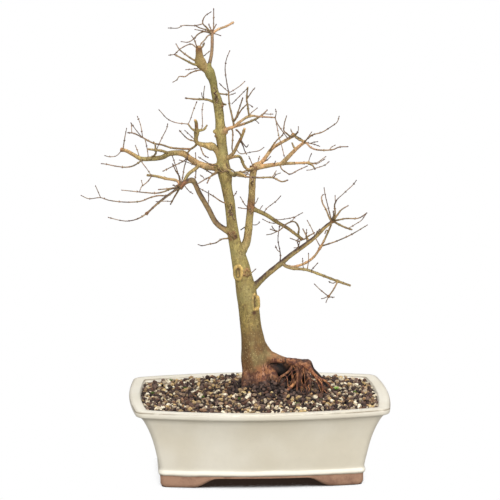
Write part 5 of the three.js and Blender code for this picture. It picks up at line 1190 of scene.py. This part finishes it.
def lay_grit(rng, pitch, drop, middle_size, spread):
    """Places and sizes of grains strewn over the soil, in millimetres"""
    row_pitch = pitch * 0.87
    columns = np.arange(-HALF_LENGTH, HALF_LENGTH, pitch)
    rows = np.arange(-HALF_WIDTH, HALF_WIDTH, row_pitch)
    x, y = (grid.ravel() for grid in np.meshgrid(columns, rows))
    x = x + rng.uniform(-0.45, 0.45, len(x)) * pitch + (np.round(y / row_pitch) % 2) * pitch / 2
    y = y + rng.uniform(-0.45, 0.45, len(y)) * pitch
    sizes = np.clip(middle_size * rng.lognormal(0, spread, len(x)), 2.6, 7)
    kept = inside_rim(x, y, 0.9 + 0.32 * sizes)
    x, y, sizes = x[kept], y[kept], sizes[kept]
    z = soil_level(x, y) - drop + rng.uniform(-0.25, 0.5, len(x)) * sizes * 0.5
    return np.column_stack([x, y, z]), sizes


def grain_skin(rng, spots, sizes, shapes, faces):
    """A skin of grains, each turned at random, with one value from 0 to 1 all over a grain"""
    turns = rng.normal(size=(len(spots), 4))
    turns[:, 1:3] *= 0.45
    w, x, y, z = (turns / np.linalg.norm(turns, axis=1)[:, None]).T
    spin = np.array([
        [1 - 2 * (y * y + z * z), 2 * (x * y - z * w), 2 * (x * z + y * w)],
        [2 * (x * y + z * w), 1 - 2 * (x * x + z * z), 2 * (y * z - x * w)],
        [2 * (x * z - y * w), 2 * (y * z + x * w), 1 - 2 * (x * x + y * y)],
    ]).transpose(2, 0, 1)
    chosen = shapes[rng.integers(0, len(shapes), len(spots))]
    grains = np.einsum("nij,nkj->nki", spin, chosen) * sizes[:, None, None] + spots[:, None, :]
    points = grains.shape[1]
    starts = np.arange(len(spots))[:, None, None] * points
    whole = (faces[None] + starts).reshape(-1, 3).tolist()
    values = np.repeat(rng.uniform(0, 1, len(spots)), points)
    skin = Skin()
    skin.add(grains.reshape(-1, 3) * MM + POT_PLACE, whole, grain=values)
    return skin


def grit_finish(name, stops, pits, roughness=0.92):
    """Grit of one kind: a colour for each grain, with dusty spots, painted shade in its pits and painted
    shade where grains stand close
    """
    finish = Finish(name, roughness)
    base = finish.ramp(finish.value("grain"), stops, "CONSTANT")
    cloudy = finish.times_grey(base, finish.clouds(820, 3, 0.7), 0.36, 1.56)
    # painted shade: the pits are darkened near black, as the shade inside them
    pit_shade = finish.span(finish.cells(pits), 0.12, 0.36, 0.78, 0)
    gritty = finish.mix(pit_shade, cloudy, linear(38, 28, 24))
    # painted shade where grains stand close
    finish.color(finish.crevice_shaded(gritty, GRIT_SHADE_REACH, 0.05))
    finish.bump((finish.cells(pits), 0.8, 0.6), (finish.clouds(1800, 2), 0.6, 0.3))
    return finish.material


def shades(*colors):
    """Even steps of a ramp through screen colours"""
    return [(i / len(colors), linear(*color)) for i, color in enumerate(colors)]


class BONSAI_OT_grit(bpy.types.Operator):
    """Strews thousands of grains of lava, fired clay and pumice over the soil"""

    bl_idname = "bonsai.grit"
    bl_label = "Grit"

    def execute(self, context):
        soil = context.scene.bonsai_soil
        rng = np.random.default_rng(soil.seed)
        shapes, faces = pebbles(rng, 18, 2)
        plain_shapes, plain_faces = pebbles(rng, 8, 1)
        lava = grit_finish("lava_grit", shades(
            (58, 42, 36), (74, 56, 48), (96, 74, 64), (48, 36, 32), (110, 88, 76), (64, 48, 42),
            (86, 68, 60), (92, 62, 48),
        ), 1300)
        clay = grit_finish("clay_grit", shades(
            (172, 142, 102), (148, 120, 84), (194, 164, 114), (124, 96, 68), (188, 158, 108), (162, 136, 108),
            (164, 126, 86), (140, 116, 86), (210, 184, 130), (152, 128, 92), (134, 110, 88), (140, 106, 80),
        ), 900)
        pumice = grit_finish("pumice_grit", shades(
            (222, 208, 180), (204, 188, 158), (234, 222, 196), (184, 166, 138), (214, 198, 168),
            (172, 154, 130),
        ), 1000)
        spots, sizes = lay_grit(rng, soil.pitch / MM, 0.5, soil.grain / MM, 0.3)
        patches = 0.22 * rough(spots, 0.035, 12.0)
        shadowed = 0.56 * np.exp(-((spots[:, 0] - 18) / 45) ** 2 - ((spots[:, 1] - 2) / 30) ** 2)
        draws = rng.uniform(0, 1, len(spots)) + patches - shadowed
        kinds = np.digitize(draws, (0.52, 0.78))
        names = (("grit_lava", lava), ("grit_clay", clay), ("grit_pumice", pumice))
        for kind, (name, material) in enumerate(names):
            skin = grain_skin(rng, spots[kinds == kind], sizes[kinds == kind], shapes, faces)
            settle(skin.make(name, material, smooth=False), "grit_soil")
        spots, sizes = lay_grit(rng, soil.pitch / MM * 1.05, 2.6, soil.grain / MM, 0.2)
        under = grain_skin(rng, spots, sizes, plain_shapes, plain_faces)
        shaded = shades((52, 38, 33), (66, 50, 44), (42, 31, 28), (80, 64, 54))
        settle(under.make("grit_under", grit_finish("shaded_grit", shaded, 1300), smooth=False), "grit_soil")
        return {"FINISHED"}


def on_soil(across, up):
    """The place on the soil, in millimetres from the pot's middle, that the front view shows there"""
    low, high = -HALF_WIDTH, HALF_WIDTH
    for _ in range(30):
        back = (low + high) / 2
        x, y, z = ((standing([(across, up, back)])[0] - POT_PLACE) / MM).tolist()
        if z > soil_level(x, y):
            low = back
        else:
            high = back
    return x, y, z


def add_blade(skin, root, direction, length, width, cup=0.2):
    """Adds a small pointed leaf that folds along its midrib, in metres"""
    direction = np.asarray(direction, float)
    direction = direction / np.linalg.norm(direction)
    aside = np.cross(direction, (0.0, 0.0, 1.0))
    aside = aside / max(np.linalg.norm(aside), 1e-6)
    lift = np.cross(aside, direction)
    spots = [root]
    for share, wide in ((0.3, 0.8), (0.6, 1.0), (0.85, 0.6)):
        middle = root + direction * length * share
        spots += [middle + aside * width * wide + lift * cup * width, middle - lift * cup * width * 0.3,
                  middle - aside * width * wide + lift * cup * width]
    spots.append(root + direction * length)
    strips = [(1, 2, 5, 4), (2, 3, 6, 5), (4, 5, 8, 7), (5, 6, 9, 8)]
    skin.add(spots, [(0, 2, 1), (0, 3, 2), *strips, (7, 8, 10), (8, 9, 10)])


def leaf_finish(name, roughness, color, shade, scale, grain):
    """Leaves of two greens in clouds, over a fine grain"""
    finish = Finish(name, roughness)
    finish.color(finish.mix(finish.span(finish.clouds(scale), 0.35, 0.65), color, shade))
    finish.bump((finish.clouds(grain), 0.2, 0.1))
    return finish.material


class BONSAI_OT_moss(bpy.types.Operator):
    """Grows small tufts of moss and a seedling between the grains"""

    bl_idname = "bonsai.moss"
    bl_label = "Moss and seedling"

    def execute(self, context):
        soil = context.scene.bonsai_soil
        draw = random.Random(soil.seed)
        moss = Skin()
        for across, up in MOSS_SPOTS:
            x, y, z = on_soil(across, up)
            for _ in range(46):
                turn = draw.uniform(0, 2 * math.pi)
                reach = 1.9 * draw.random() ** 0.6
                root = np.array([x + reach * math.cos(turn), y + reach * math.sin(turn), z + 0.9])
                lean = (math.cos(turn) * draw.uniform(0.1, 0.8), math.sin(turn) * draw.uniform(0.1, 0.8), 1)
                add_blade(moss, root * MM + POT_PLACE, lean, draw.uniform(1.0, 1.9) * MM, 0.24 * MM)
        green = leaf_finish("moss_leaf", 0.7, soil.moss, linear(70, 92, 40), 300, 2500)
        settle(moss.make("moss", green), "grit_soil")
        seedling = Skin()
        x, y, z = on_soil(*SEEDLING_SPOT)
        root = np.array([x, y, z + 2.4]) * MM + POT_PLACE
        for i in range(9):
            turn = i * math.radians(137.5)
            out = 1.0 + 0.15 * i
            lean = (math.cos(turn) * out, math.sin(turn) * out, 1.5 - 0.14 * i)
            add_blade(seedling, root, lean, (3.4 + 0.28 * i) * MM, 1.3 * MM)
        fresh = leaf_finish("seedling_leaf", 0.5, soil.leaf, linear(126, 162, 74), 500, 1800)
        settle(seedling.make("seedling", fresh), "grit_soil")
        return {"FINISHED"}


def bark_finish(tree):
    """Bark from the roots to the twigs, with callus and cut wood where the mesh says so, painted shade in the
    hollow and painted shade where surfaces stand close
    """
    finish = Finish("maple_bark", 0.8)
    wavy = finish.maths("ADD", finish.height(), finish.times(finish.clouds(30, 2), 0.03))
    trunk = finish.ramp(finish.span(wavy, 0.085, 0.47), [
        (0.0, tree.low_bark), (0.05, tree.low_bark), (0.13, tree.bark), (0.4, tree.high_bark),
        (0.56, tree.bark), (0.84, tree.high_bark), (0.93, linear(126, 116, 62)),
    ])
    limb = finish.ramp(finish.clouds(24, 2), [
        (0.3, linear(108, 90, 66)), (0.4, linear(158, 140, 88)), (0.5, tree.warm_bark),
        (0.6, linear(210, 166, 124)), (0.7, linear(126, 102, 74)),
    ])
    warm = finish.mix(finish.value("warmth"), trunk, limb)
    grain = finish.clouds(330, 4, 0.65, finish.stretched(1, 1, 0.35))
    streaked = finish.times_grey(warm, finish.clouds(560, 3, 0.7), 0.6, 1.36)
    streaked = finish.times_grey(streaked, grain, 0.5, 1.4)
    brown_patch = finish.span(finish.clouds(90, 3), 0.46, 0.66, 0, 0.5)
    green_patch = finish.span(finish.clouds(48, 2), 0.48, 0.64, 0, 0.45)
    patched = finish.mix(brown_patch, streaked, linear(112, 88, 54))
    patched = finish.mix(green_patch, patched, linear(150, 140, 90))
    spots = finish.cells(560, finish.stretched(1, 1, 0.8))
    knots = finish.cells(470, finish.stretched(1, 1, 0.6))
    old = finish.maths("SUBTRACT", 1.0, finish.value("youth"))
    strewn = finish.times(old, finish.span(finish.clouds(120, 2), 0.36, 0.6, 0.3, 0.9))
    pale = finish.times(finish.span(spots, 0.12, 0.34, 0.8, 0), strewn)
    brown = finish.times(finish.span(knots, 0.14, 0.36, 0.85, 0), strewn)
    flecked = finish.mix(brown, finish.mix(pale, patched, linear(190, 170, 118)), linear(92, 68, 42))
    flecked = finish.mix(finish.span(finish.height(), 0.36, 0.43, 0, 0.55), flecked, warm)
    youth = finish.times(finish.value("youth"), finish.span(finish.clouds(110, 2), 0.3, 0.7, 0.7, 1.0))
    young = finish.ramp(finish.clouds(70, 2), [
        (0.32, linear(76, 60, 56)), (0.45, tree.twig_bark), (0.56, linear(146, 114, 90)),
        (0.68, linear(98, 84, 64)),
    ])
    weathered = finish.times(finish.value("dark"), finish.span(finish.clouds(75, 3), 0.34, 0.6, 0.5, 1.7))
    grown = finish.mix(weathered, finish.mix(youth, flecked, young), linear(70, 52, 44))
    aged = finish.mix(finish.span(finish.clouds(210, 4, 0.7), 0.4, 0.58), tree.root_bark, tree.root_dark)
    pale_streak = finish.span(finish.clouds(330, 3, 0.6, finish.stretched(1, 1, 0.5)), 0.56, 0.66, 0, 0.8)
    aged = finish.mix(pale_streak, aged, linear(192, 142, 108))
    aged = finish.mix(finish.span(finish.cells(240), 0.1, 0.3, 0.85, 0), aged, linear(60, 32, 30))
    # each thin root has a hue of its own: as it is, paler, black, bleached, dark red or orange
    hued = finish.mix(1.0, aged, finish.ramp(finish.value("hue"), [
        (0.0, (1.0, 1.0, 1.0)), (0.2, (1.4, 1.4, 1.2)), (0.4, (0.42, 0.36, 0.36)), (0.6, (2.1, 2.1, 1.9)),
        (0.8, (0.7, 0.52, 0.5)), (1.0, (1.6, 1.3, 1.0)),
    ]), "MULTIPLY")
    healed = finish.times_grey(tree.callus, finish.clouds(520, 3), 0.6, 1.2)
    wood = finish.times_grey(tree.cut, finish.clouds(900, 3), 0.8, 1.08)
    whole = grown
    # the wound layer also paints the shade in the clefts of the bark
    layers = {"root": hued, "shade": linear(30, 20, 17), "callus": healed, "wound": tree.wound, "cut": wood}
    for name, color in layers.items():
        whole = finish.mix(finish.value(name), whole, color)
    # painted shade where other surfaces stand close, deepest between the roots
    finish.color(finish.crevice_shaded(whole, BARK_SHADE_REACH, 0.16))
    finish.bump((grain, 0.7, 0.7), (spots, 0.3, 0.3), (finish.clouds(1500, 2), 0.25, 0.15))
    return finish.material


def collar(limb, parent):
    """The swollen base of a limb: its way and radii, which sink under the limb's own skin at the end"""
    base = parent.radius_under(limb)
    reach = base + COLLAR_REACH * limb.radii[0]
    kept = max(int(np.searchsorted(limb.along, reach)), 4)
    along = limb.along[:kept]
    bulge = 0.42 * max(1 - (limb.radii[0] / base) ** 2, 0)
    swell = 1 + bulge * np.exp(-np.clip(along - base, 0, None) / (0.75 * limb.radii[0]))
    sink = unit((along - reach * 0.75) / (reach * 0.25))
    return limb.way[:kept], limb.radii[:kept] * (swell - 0.16 * sink)


def on_bark(trunk, across, up, proud=0.0):
    """A place on the front of the trunk's bark, in millimetres of the front view"""
    spot = trunk.view[trunk.nearest(across, up)]
    aside = max(min((across - spot[0]) / spot[3], 0.96), -0.96)
    return across, up, spot[2] - spot[3] * math.sqrt(1 - aside * aside) - proud


def scar_ring(trunk, scar):
    """A callus ring on the front of the trunk: its places in metres, and how thick it is at each"""
    across, up, half_width, half_height, _, start, reach = scar
    turns = np.radians(np.linspace(start, start + reach, 44))
    spots = standing([
        on_bark(trunk, across + half_width * math.cos(turn), up + half_height * math.sin(turn))
        for turn in turns
    ])
    thick = 0.35 + 0.65 * np.sin(np.linspace(0.12, math.pi - 0.12, len(turns))) ** 0.6
    return spots, thick * (1 + 0.28 * rough(spots, 420, across))


def trunk_rough_mesh(limbs, settings):
    """Trunk, root arch, root bases, limb collars and callus joined into one even skin"""
    skin = Skin()
    trunk = limbs["trunk"]
    add_tube(skin, trunk.way, trunk.radii, 36)
    web = Limb("web", "trunk", WEB, LIMB_STEP)
    add_tube(skin, web.way, web.radii, 20)
    for limb in limbs.values():
        if limb.parent == "trunk" and limb.radii[0] < 5 * MM:
            add_tube(skin, *collar(limb, trunk), 16)
    for name, *_ in ROOTS:
        limb = limbs[name]
        if limb.radii[0] > THIN_ROOT * MM:
            add_tube(skin, limb.way, limb.radii, 20)
    for scar in SCARS:
        ring, thick = scar_ring(trunk, scar)
        add_tube(skin, ring, thick * scar[4] * MM, 10)
    for across, up, radius in SCAR_LUMPS:
        front, back = on_bark(trunk, across, up, 0.8 * radius), on_bark(trunk, across, up, -2)
        add_tube(skin, standing([back, front]), np.full(2, radius * MM), 10)
    stub = standing([(SCAR_STUB["across"], SCAR_STUB["up"], SCAR_STUB["back"] + i) for i in (6, 3, 0, -2)])
    add_tube(skin, stub, np.array([1, 1, 0.95, 0.7]) * SCAR_STUB["radius"] * MM, 14)
    piece = skin.make("trunk_rough", None)
    remesh = piece.modifiers.new("even", "REMESH")
    remesh.mode = "VOXEL"
    remesh.voxel_size = settings.voxel
    smooth = piece.modifiers.new("soften", "SMOOTH")
    smooth.factor = 0.5
    smooth.iterations = 7
    mesh = frozen(piece)
    bpy.data.objects.remove(piece)
    return mesh


def wrinkle(mesh):
    """Raises bark over the trunk's even skin"""
    spots = spots_of(mesh)
    normals = normals_of(mesh)
    lumps = rough(spots, (75, 75, 45)) * 0.42
    creases = (0.5 - np.abs(rough(spots, (330, 330, 85), 5.0))) * 0.34
    grit = rough(spots, (800, 800, 500), 9.0) * 0.1
    low = unit((0.14 - spots[:, 2]) / 0.05)
    raised = (lumps + creases + grit) * (1 + 0.8 * low)
    mesh.vertices.foreach_set("co", (spots + normals * raised[:, None] * MM).astype(np.float32).ravel())
    mesh.update()


def bark_kinds(limbs, spots):
    """How warm, rooted, shaded and dark the limb or root is that lies nearest to each spot"""
    places, kinds = [], []
    for limb in limbs.values():
        rooted = limb.name in ROOT_NAMES
        if rooted or limb.parent in (None, "trunk"):
            near = limb.way[::2]
            places += list(near)
            kinds += [(
                WARMTH.get(limb.name, LIMB_WARMTH), rooted, SHADED_ROOTS.get(limb.name, 0),
                DARK_LIMBS.get(limb.name, 0),
            )] * len(near)
    return np.array(kinds, float)[find_nearest(places, spots)[0]].T


def wound_and_shade_values(trunk, spots):
    """How much callus, dead wood and burr there is at each spot; the dead wood also carries the painted shade
    of the clefts
    """
    callus = np.maximum.reduce([
        unit(2.2 * scar[4] - gaps_to(scar_ring(trunk, scar)[0], spots) / (0.5 * MM)) for scar in SCARS
    ])
    sunken = []
    for across, up, _, half_height, *_ in SCARS[::2]:
        middle = [on_bark(trunk, across, up + 0.45 * half_height * i) for i in (-1, 0, 1)]
        sunken.append(unit(1.7 - gaps_to(standing(middle), spots) / (1.7 * MM)))
    lumps = standing([on_bark(trunk, across, up) for across, up, _ in SCAR_LUMPS])
    burr = unit(1.6 - gaps_to(lumps, spots) / (1.7 * MM))
    # painted shade in the clefts, and a painted shadow under a scar, laid on in the colour of dead wood
    cleft_shade = unit(1.8 - gaps_to(standing(CLEFT_SHADES), spots) / (1.8 * MM))
    inside = np.maximum(sunken[0], 0.7 * sunken[1]) * (1 - callus)
    return callus, np.maximum.reduce([inside, cleft_shade, 0.2 * burr]), burr


def weathering(normals):
    """How much sun and rain bark gets by how far up it looks, from 0 to 2"""
    return np.clip(0.5 + 1.6 * normals[:, 2], 0, 2)


def bark_values(limbs, spots, normals):
    """The values that the bark's finish reads at each spot of the trunk's skin"""
    trunk = limbs["trunk"]
    warmth, root, shade, dark = bark_kinds(limbs, spots)
    callus, wound, burr = wound_and_shade_values(trunk, spots)
    height = spots[:, 2]
    across, back = ((spots - POT_PLACE)[:, :2] / MM).T
    # bark turns into root at the foot, along each root, and all over the head of the root arch
    line = 0.106 + 0.014 * unit((across + 12) / 16)
    low = unit((line - height) / 0.014 + 0.6 * rough(spots, 110))
    beyond = unit((across - 6) / 8)
    limit = 0.11 + 0.017 * beyond
    grown = root * unit((limit - height) / 0.012 + 0.5 * rough(spots, 140, 7.0))
    head = unit((across - 24) / 6)
    root = np.maximum.reduce([grown, low, head, beyond * (height < 0.114)])
    up_facing = unit(normals[:, 2] * 1.6 + 0.3) * unit((height - 0.112) / 0.006)
    root = root * (1 - 0.85 * up_facing * (1 - head))
    # painted shade in the hollow behind the arch; the arch's knob is dark too, and the foot grows darker
    # towards the soil
    hollow = unit((back - 4) / 4) * unit((across - 7) / 4)
    shade = np.maximum(shade, hollow) * unit((0.117 - height) / 0.004) * unit(0.4 - 1.4 * normals[:, 1])
    knob = unit((across - 36) / 5) * unit((height - 0.109) / 0.003) * (0.55 + 0.5 * rough(spots, 260, 4.0))
    darker_low = np.clip((0.103 + 0.012 * rough(spots, 120, 2.0) - height) / 0.02, 0, 0.62)
    outside = unit((gaps_to(trunk.way, spots) - np.interp(height, trunk.way[:, 2], trunk.radii)) / (3.5 * MM))
    return {
        "warmth": warmth * outside,
        "root": np.maximum(root, 0.85 * burr),
        "callus": callus,
        "shade": np.maximum.reduce([shade, knob, darker_low]),
        "wound": wound,
        "dark": dark * outside * weathering(normals),
    }


class BONSAI_OT_trunk(bpy.types.Operator):
    """Builds the trunk with its root arch, limb collars, callus and bark"""

    bl_idname = "bonsai.trunk"
    bl_label = "Trunk"

    def execute(self, context):
        tree = context.scene.bonsai_tree
        limbs = lay_out()
        mesh = trunk_rough_mesh(limbs, tree)
        wrinkle(mesh)
        for name, values in bark_values(limbs, spots_of(mesh), normals_of(mesh)).items():
            give_value(mesh, name, values)
        settle(make_object("trunk", mesh, bark_finish(tree)), "bark", "tree")
        return {"FINISHED"}


class BONSAI_OT_limbs(bpy.types.Operator):
    """Builds the limbs, twigs and thin roots with their nodes, cut ends and buds"""

    bl_idname = "bonsai.limbs"
    bl_label = "Limbs, roots and buds"

    def execute(self, context):
        tree = context.scene.bonsai_tree
        bark = bpy.data.materials["maple_bark"]
        draw = random.Random(LIMB_SEED)
        limbs = lay_out()
        thick, fine, roots, buds = Skin(), Skin(), Skin(), Skin()
        hair_roots(roots, limbs, draw)
        for limb in limbs.values():
            if limb.name in ROOT_NAMES:
                if limb.radii[0] <= THIN_ROOT * MM:
                    radii = limb.radii * (1 + 0.18 * rough(limb.way, 300, 2.0))
                    hue, shade = 0.45 * draw.random(), SHADED_ROOTS.get(limb.name, 0)
                    add_tube(roots, limb.way, radii, 9, root=1.0, hue=hue, shade=shade)
            elif limb.parent:
                skin = thick if limb.radii[0] > TWIG_RADIUS * MM else fine
                grow_limb(skin, buds, limb, limbs[limb.parent], tree, draw)
        stout = thick.make("limbs", bark)
        weathered = stout.data.attributes["dark"].data
        dark = np.zeros(len(weathered), np.float32)
        weathered.foreach_get("value", dark)
        dark *= weathering(normals_of(stout.data))
        weathered.foreach_set("value", dark)
        settle(stout, "bark")
        settle(fine.make("twigs", bark), "bark")
        settle(roots.make("thin_roots", bark), "bark")
        scales = Finish("bud_scale", 0.6)
        scales.color(scales.times_grey(tree.bud, scales.clouds(1400, 3), 0.7, 1.5))
        scales.bump((scales.clouds(2600, 2), 0.4, 0.1))
        settle(buds.make("buds", scales.material), "bark")
        return {"FINISHED"}


def hair_roots(skin, limbs, draw):
    """Adds fine roots that hang from the arch and its roots, and that creep down the foot of the trunk"""
    for name, low, high, count, spread in HAIR_ROOTS:
        limb = limbs[name]
        for _ in range(count):
            spot = int(len(limb.way) * draw.uniform(low, high) * 0.99)
            turn = draw.uniform(-2.6, -0.4)
            out = np.array([math.cos(turn), math.sin(turn), 0.0])
            start = limb.way[spot] + out * limb.radii[spot] * 0.85
            ground = (soil_level(*((start - POT_PLACE)[:2] / MM)) - 1.5) * MM
            drop = max(start[2] - ground, 0.004)
            aside = np.array([draw.gauss(0, 0.8), -draw.uniform(0.1, 0.9), 0]) * drop * spread
            way = [start - out * limb.radii[spot] * 0.4, start]
            for share in (0.2, 0.45, 0.7, 0.88, 1.05):
                wander = np.array([draw.gauss(0, 0.0008), draw.gauss(0, 0.0006), 0])
                way.append(start + aside * share ** 0.8 + wander - (0, 0, drop * share ** 1.25))
            way = spline(way, 1.0 * MM)
            thick = draw.choice(HAIR_RADII) * MM
            radii = thick * np.linspace(1.2, 0.65, len(way)) * (1 + 0.15 * rough(way, 600, draw.random()))
            add_tube(skin, way, radii, 6, root=1.0, hue=draw.random())


def grow_limb(skin, buds, limb, parent, tree, draw):
    """Adds one limb with its swollen base, and on a thin one nodes with pairs of buds"""
    way = limb.way
    radii = np.maximum(limb.radii, MIN_RADIUS * MM)
    base = parent.radius_under(limb)
    bulge = 0.4 * max(1 - (radii[0] / base) ** 2, 0)
    swell = bulge * np.exp(-np.clip(limb.along - base, 0, None) / (0.9 * radii[0]))
    gnarl = 0.07 * rough(way, 260, 4.0) + 0.05 * rough(way, 700, 6.0)
    radii = radii * (1 + swell + gnarl)
    if limb.parent == "trunk":
        reach = base + COLLAR_REACH * limb.radii[0]
        radii = radii * (0.8 + 0.2 * unit((limb.along - 0.55 * reach) / (0.2 * reach)))
    tangents, one, other = frames_along(way)
    thin = radii < BUD_RADIUS * MM
    turn = draw.uniform(0, math.pi)
    place = base + draw.uniform(0.5, 1.0) * tree.internode
    while place < limb.along[-1] - 1.5 * MM:
        ring = int(np.searchsorted(limb.along, place))
        radius = radii[ring]
        if thin[ring]:
            near = np.exp(-(((limb.along - limb.along[ring]) / (0.75 * MM)) ** 2))
            radii = radii * (1 + 0.2 * near)
            for side in (0, math.pi):
                out = math.cos(turn + side) * one[ring] + math.sin(turn + side) * other[ring]
                lean = 0.62 * out + 0.78 * tangents[ring]
                length = tree.bud_length * draw.uniform(0.7, 1.15)
                add_bud(buds, way[ring] + out * radius * 0.85, lean, length, 0.3 * length)
        turn += math.pi / 2 + draw.uniform(-0.3, 0.3)
        place += tree.internode * draw.uniform(0.65, 1.25)
    was_cut = limb.radii[-1] > CUT_RADIUS * MM
    sides = 14 if radii[0] > 2.2 * MM else 10 if radii[0] > TWIG_RADIUS * MM else 7
    youth = np.maximum(unit((OLD_RADIUS * MM - radii) / (0.8 * MM)), YOUNG_LIMBS.get(limb.name, 0))
    burr = np.zeros(len(way))
    for name, across, up in BURRS:
        if name == limb.name:
            ring = limb.nearest(across, up)
            burr = np.maximum(burr, np.exp(-(((limb.along - limb.along[ring]) / (1.5 * radii[ring])) ** 2)))
    add_tube(
        skin, way, radii, sides, was_cut, youth=youth, warmth=WARMTH.get(limb.name, LIMB_WARMTH),
        root=0.75 * burr, wound=0.2 * burr, dark=DARK_LIMBS.get(limb.name, 0),
    )
    if not was_cut:
        add_bud(buds, way[-1] - tangents[-1] * radii[-1], tangents[-1], 1.3 * tree.bud_length,
                1.35 * radii[-1])


def add_bud(skin, root, direction, length, width):
    """Adds a pointed bud with rows of scales, in metres"""
    direction = direction / np.linalg.norm(direction)
    way = np.array([root + direction * length * share for share in (0, 0.2, 0.45, 0.7, 0.9)])
    add_tube(skin, way, width * np.array([0.75, 1.0, 0.86, 0.5, 0.16]), 6)


def floor_finish(stage):
    """A floor that the camera sees as plain white, but for the contact shadow under the pot"""
    finish = Finish("studio_floor", 0.9)
    seen = finish.node("ShaderNodeLightPath").outputs["Is Camera Ray"]
    near = finish.closeness(CONTACT_SHADOW, 12)
    shadow = finish.ramp(near, [(0.0, stage.shadow), (0.3, stage.shadow), (0.42, (1, 1, 1))])
    finish.color(finish.mix(seen, stage.floor, (0, 0, 0)))
    finish.feed(finish.shader.inputs["Emission Color"], shadow)
    finish.feed(finish.shader.inputs["Emission Strength"], seen)
    finish.feed(finish.shader.inputs["Specular IOR Level"], 0)
    return finish.material


def white_sky(stage):
    """A world that the camera sees as white, and that lights the plant more softly"""
    world = bpy.data.worlds.new("studio_sky")
    world.use_nodes = True
    nodes, link = world.node_tree.nodes, world.node_tree.links.new
    strength = nodes.new("ShaderNodeMapRange")
    strength.inputs["To Min"].default_value = stage.sky
    link(nodes.new("ShaderNodeLightPath").outputs["Is Camera Ray"], strength.inputs["Value"])
    link(strength.outputs["Result"], nodes["Background"].inputs["Strength"])
    nodes["Background"].inputs["Color"].default_value = (1, 1, 1, 1)
    return world


def aim(name, data, place, direction):
    """Puts a light or a camera at a place, facing a direction"""
    thing = bpy.data.objects.new(name, data)
    thing.location = place
    thing.rotation_euler = direction.to_track_quat("-Z", "Y").to_euler()
    bpy.context.scene.collection.objects.link(thing)
    return thing


class BONSAI_OT_stage(bpy.types.Operator):
    """Sets the floor, the even light, the front and top lights and the camera"""

    bl_idname = "bonsai.stage"
    bl_label = "Stage"

    def execute(self, context):
        scene = context.scene
        stage = scene.bonsai_stage
        bpy.ops.mesh.primitive_plane_add(size=8)
        floor = context.object
        floor.name = "studio_floor"
        floor.data.materials.append(floor_finish(stage))
        scene.world = white_sky(stage)
        middle = Vector((*POT_PLACE[:2], FRONT_LEVEL * MM))
        # each light: where it stands from the plant's middle, its width, and its share of the key's power
        for name, offset, width, share in (
            ("key", (-0.7, -2.1, 1.3), 1.0, 1), ("fill", (1.6, -1.6, 0.3), 1.2, 0.44),
            ("top", (0.1, -0.1, 2.2), 0.8, 0.68),
        ):
            data = bpy.data.lights.new(name, "AREA")
            data.size = width
            data.energy = share * stage.key
            aim(name, data, middle + Vector(offset), -Vector(offset))
        flat = Vector((math.sin(FRONT_TURN), math.cos(FRONT_TURN), 0))
        right = Vector((math.cos(FRONT_TURN), -math.sin(FRONT_TURN), 0))
        ahead = flat * math.cos(FRONT_TILT) - Vector((0, 0, math.sin(FRONT_TILT)))
        upward = right.cross(ahead)
        data = bpy.data.cameras.new("front")
        data.sensor_width = 36
        data.lens = data.sensor_width * FRONT_DISTANCE / FRAME_SIDE
        target = middle + (right * AIM_RIGHT + upward * AIM_UP) * MM
        scene.camera = aim("front", data, target - ahead * stage.camera_distance, ahead)
        scene.view_settings.view_transform = "Standard"
        return {"FINISHED"}


class BONSAI_PT_sidebar(bpy.types.Panel):
    """Lists the pieces of the bonsai and their settings"""

    bl_idname = "BONSAI_PT_sidebar"
    bl_label = "Bonsai"
    bl_space_type = "VIEW_3D"
    bl_region_type = "UI"
    bl_category = "Bonsai"

    def draw(self, context):
        for operator in OPERATORS:
            self.layout.operator(operator.bl_idname)
        for name, (group, label) in SETTINGS.items():
            self.layout.label(text=label)
            for setting in group.__annotations__:
                self.layout.prop(getattr(context.scene, name), setting)


SETTINGS = {
    "bonsai_pot": (PotSettings, "Pot"),
    "bonsai_soil": (SoilSettings, "Soil"),
    "bonsai_tree": (TreeSettings, "Tree"),
    "bonsai_stage": (StageSettings, "Stage"),
}
OPERATORS = (
    BONSAI_OT_stage, BONSAI_OT_pot, BONSAI_OT_screens, BONSAI_OT_soil_bed, BONSAI_OT_grit, BONSAI_OT_moss,
    BONSAI_OT_trunk, BONSAI_OT_limbs,
)


def register():
    for name, (group, _) in SETTINGS.items():
        bpy.utils.register_class(group)
        setattr(bpy.types.Scene, name, PointerProperty(type=group))
    for operator in OPERATORS:
        bpy.utils.register_class(operator)
    bpy.utils.register_class(BONSAI_PT_sidebar)


def unregister():
    bpy.utils.unregister_class(BONSAI_PT_sidebar)
    for operator in reversed(OPERATORS):
        bpy.utils.unregister_class(operator)
    for name, (group, _) in SETTINGS.items():
        delattr(bpy.types.Scene, name)
        bpy.utils.unregister_class(group)


def main():
    register()
    for operator in OPERATORS:
        group, name = operator.bl_idname.split(".")
        getattr(getattr(bpy.ops, group), name)()


if __name__ == "__main__":
    main()
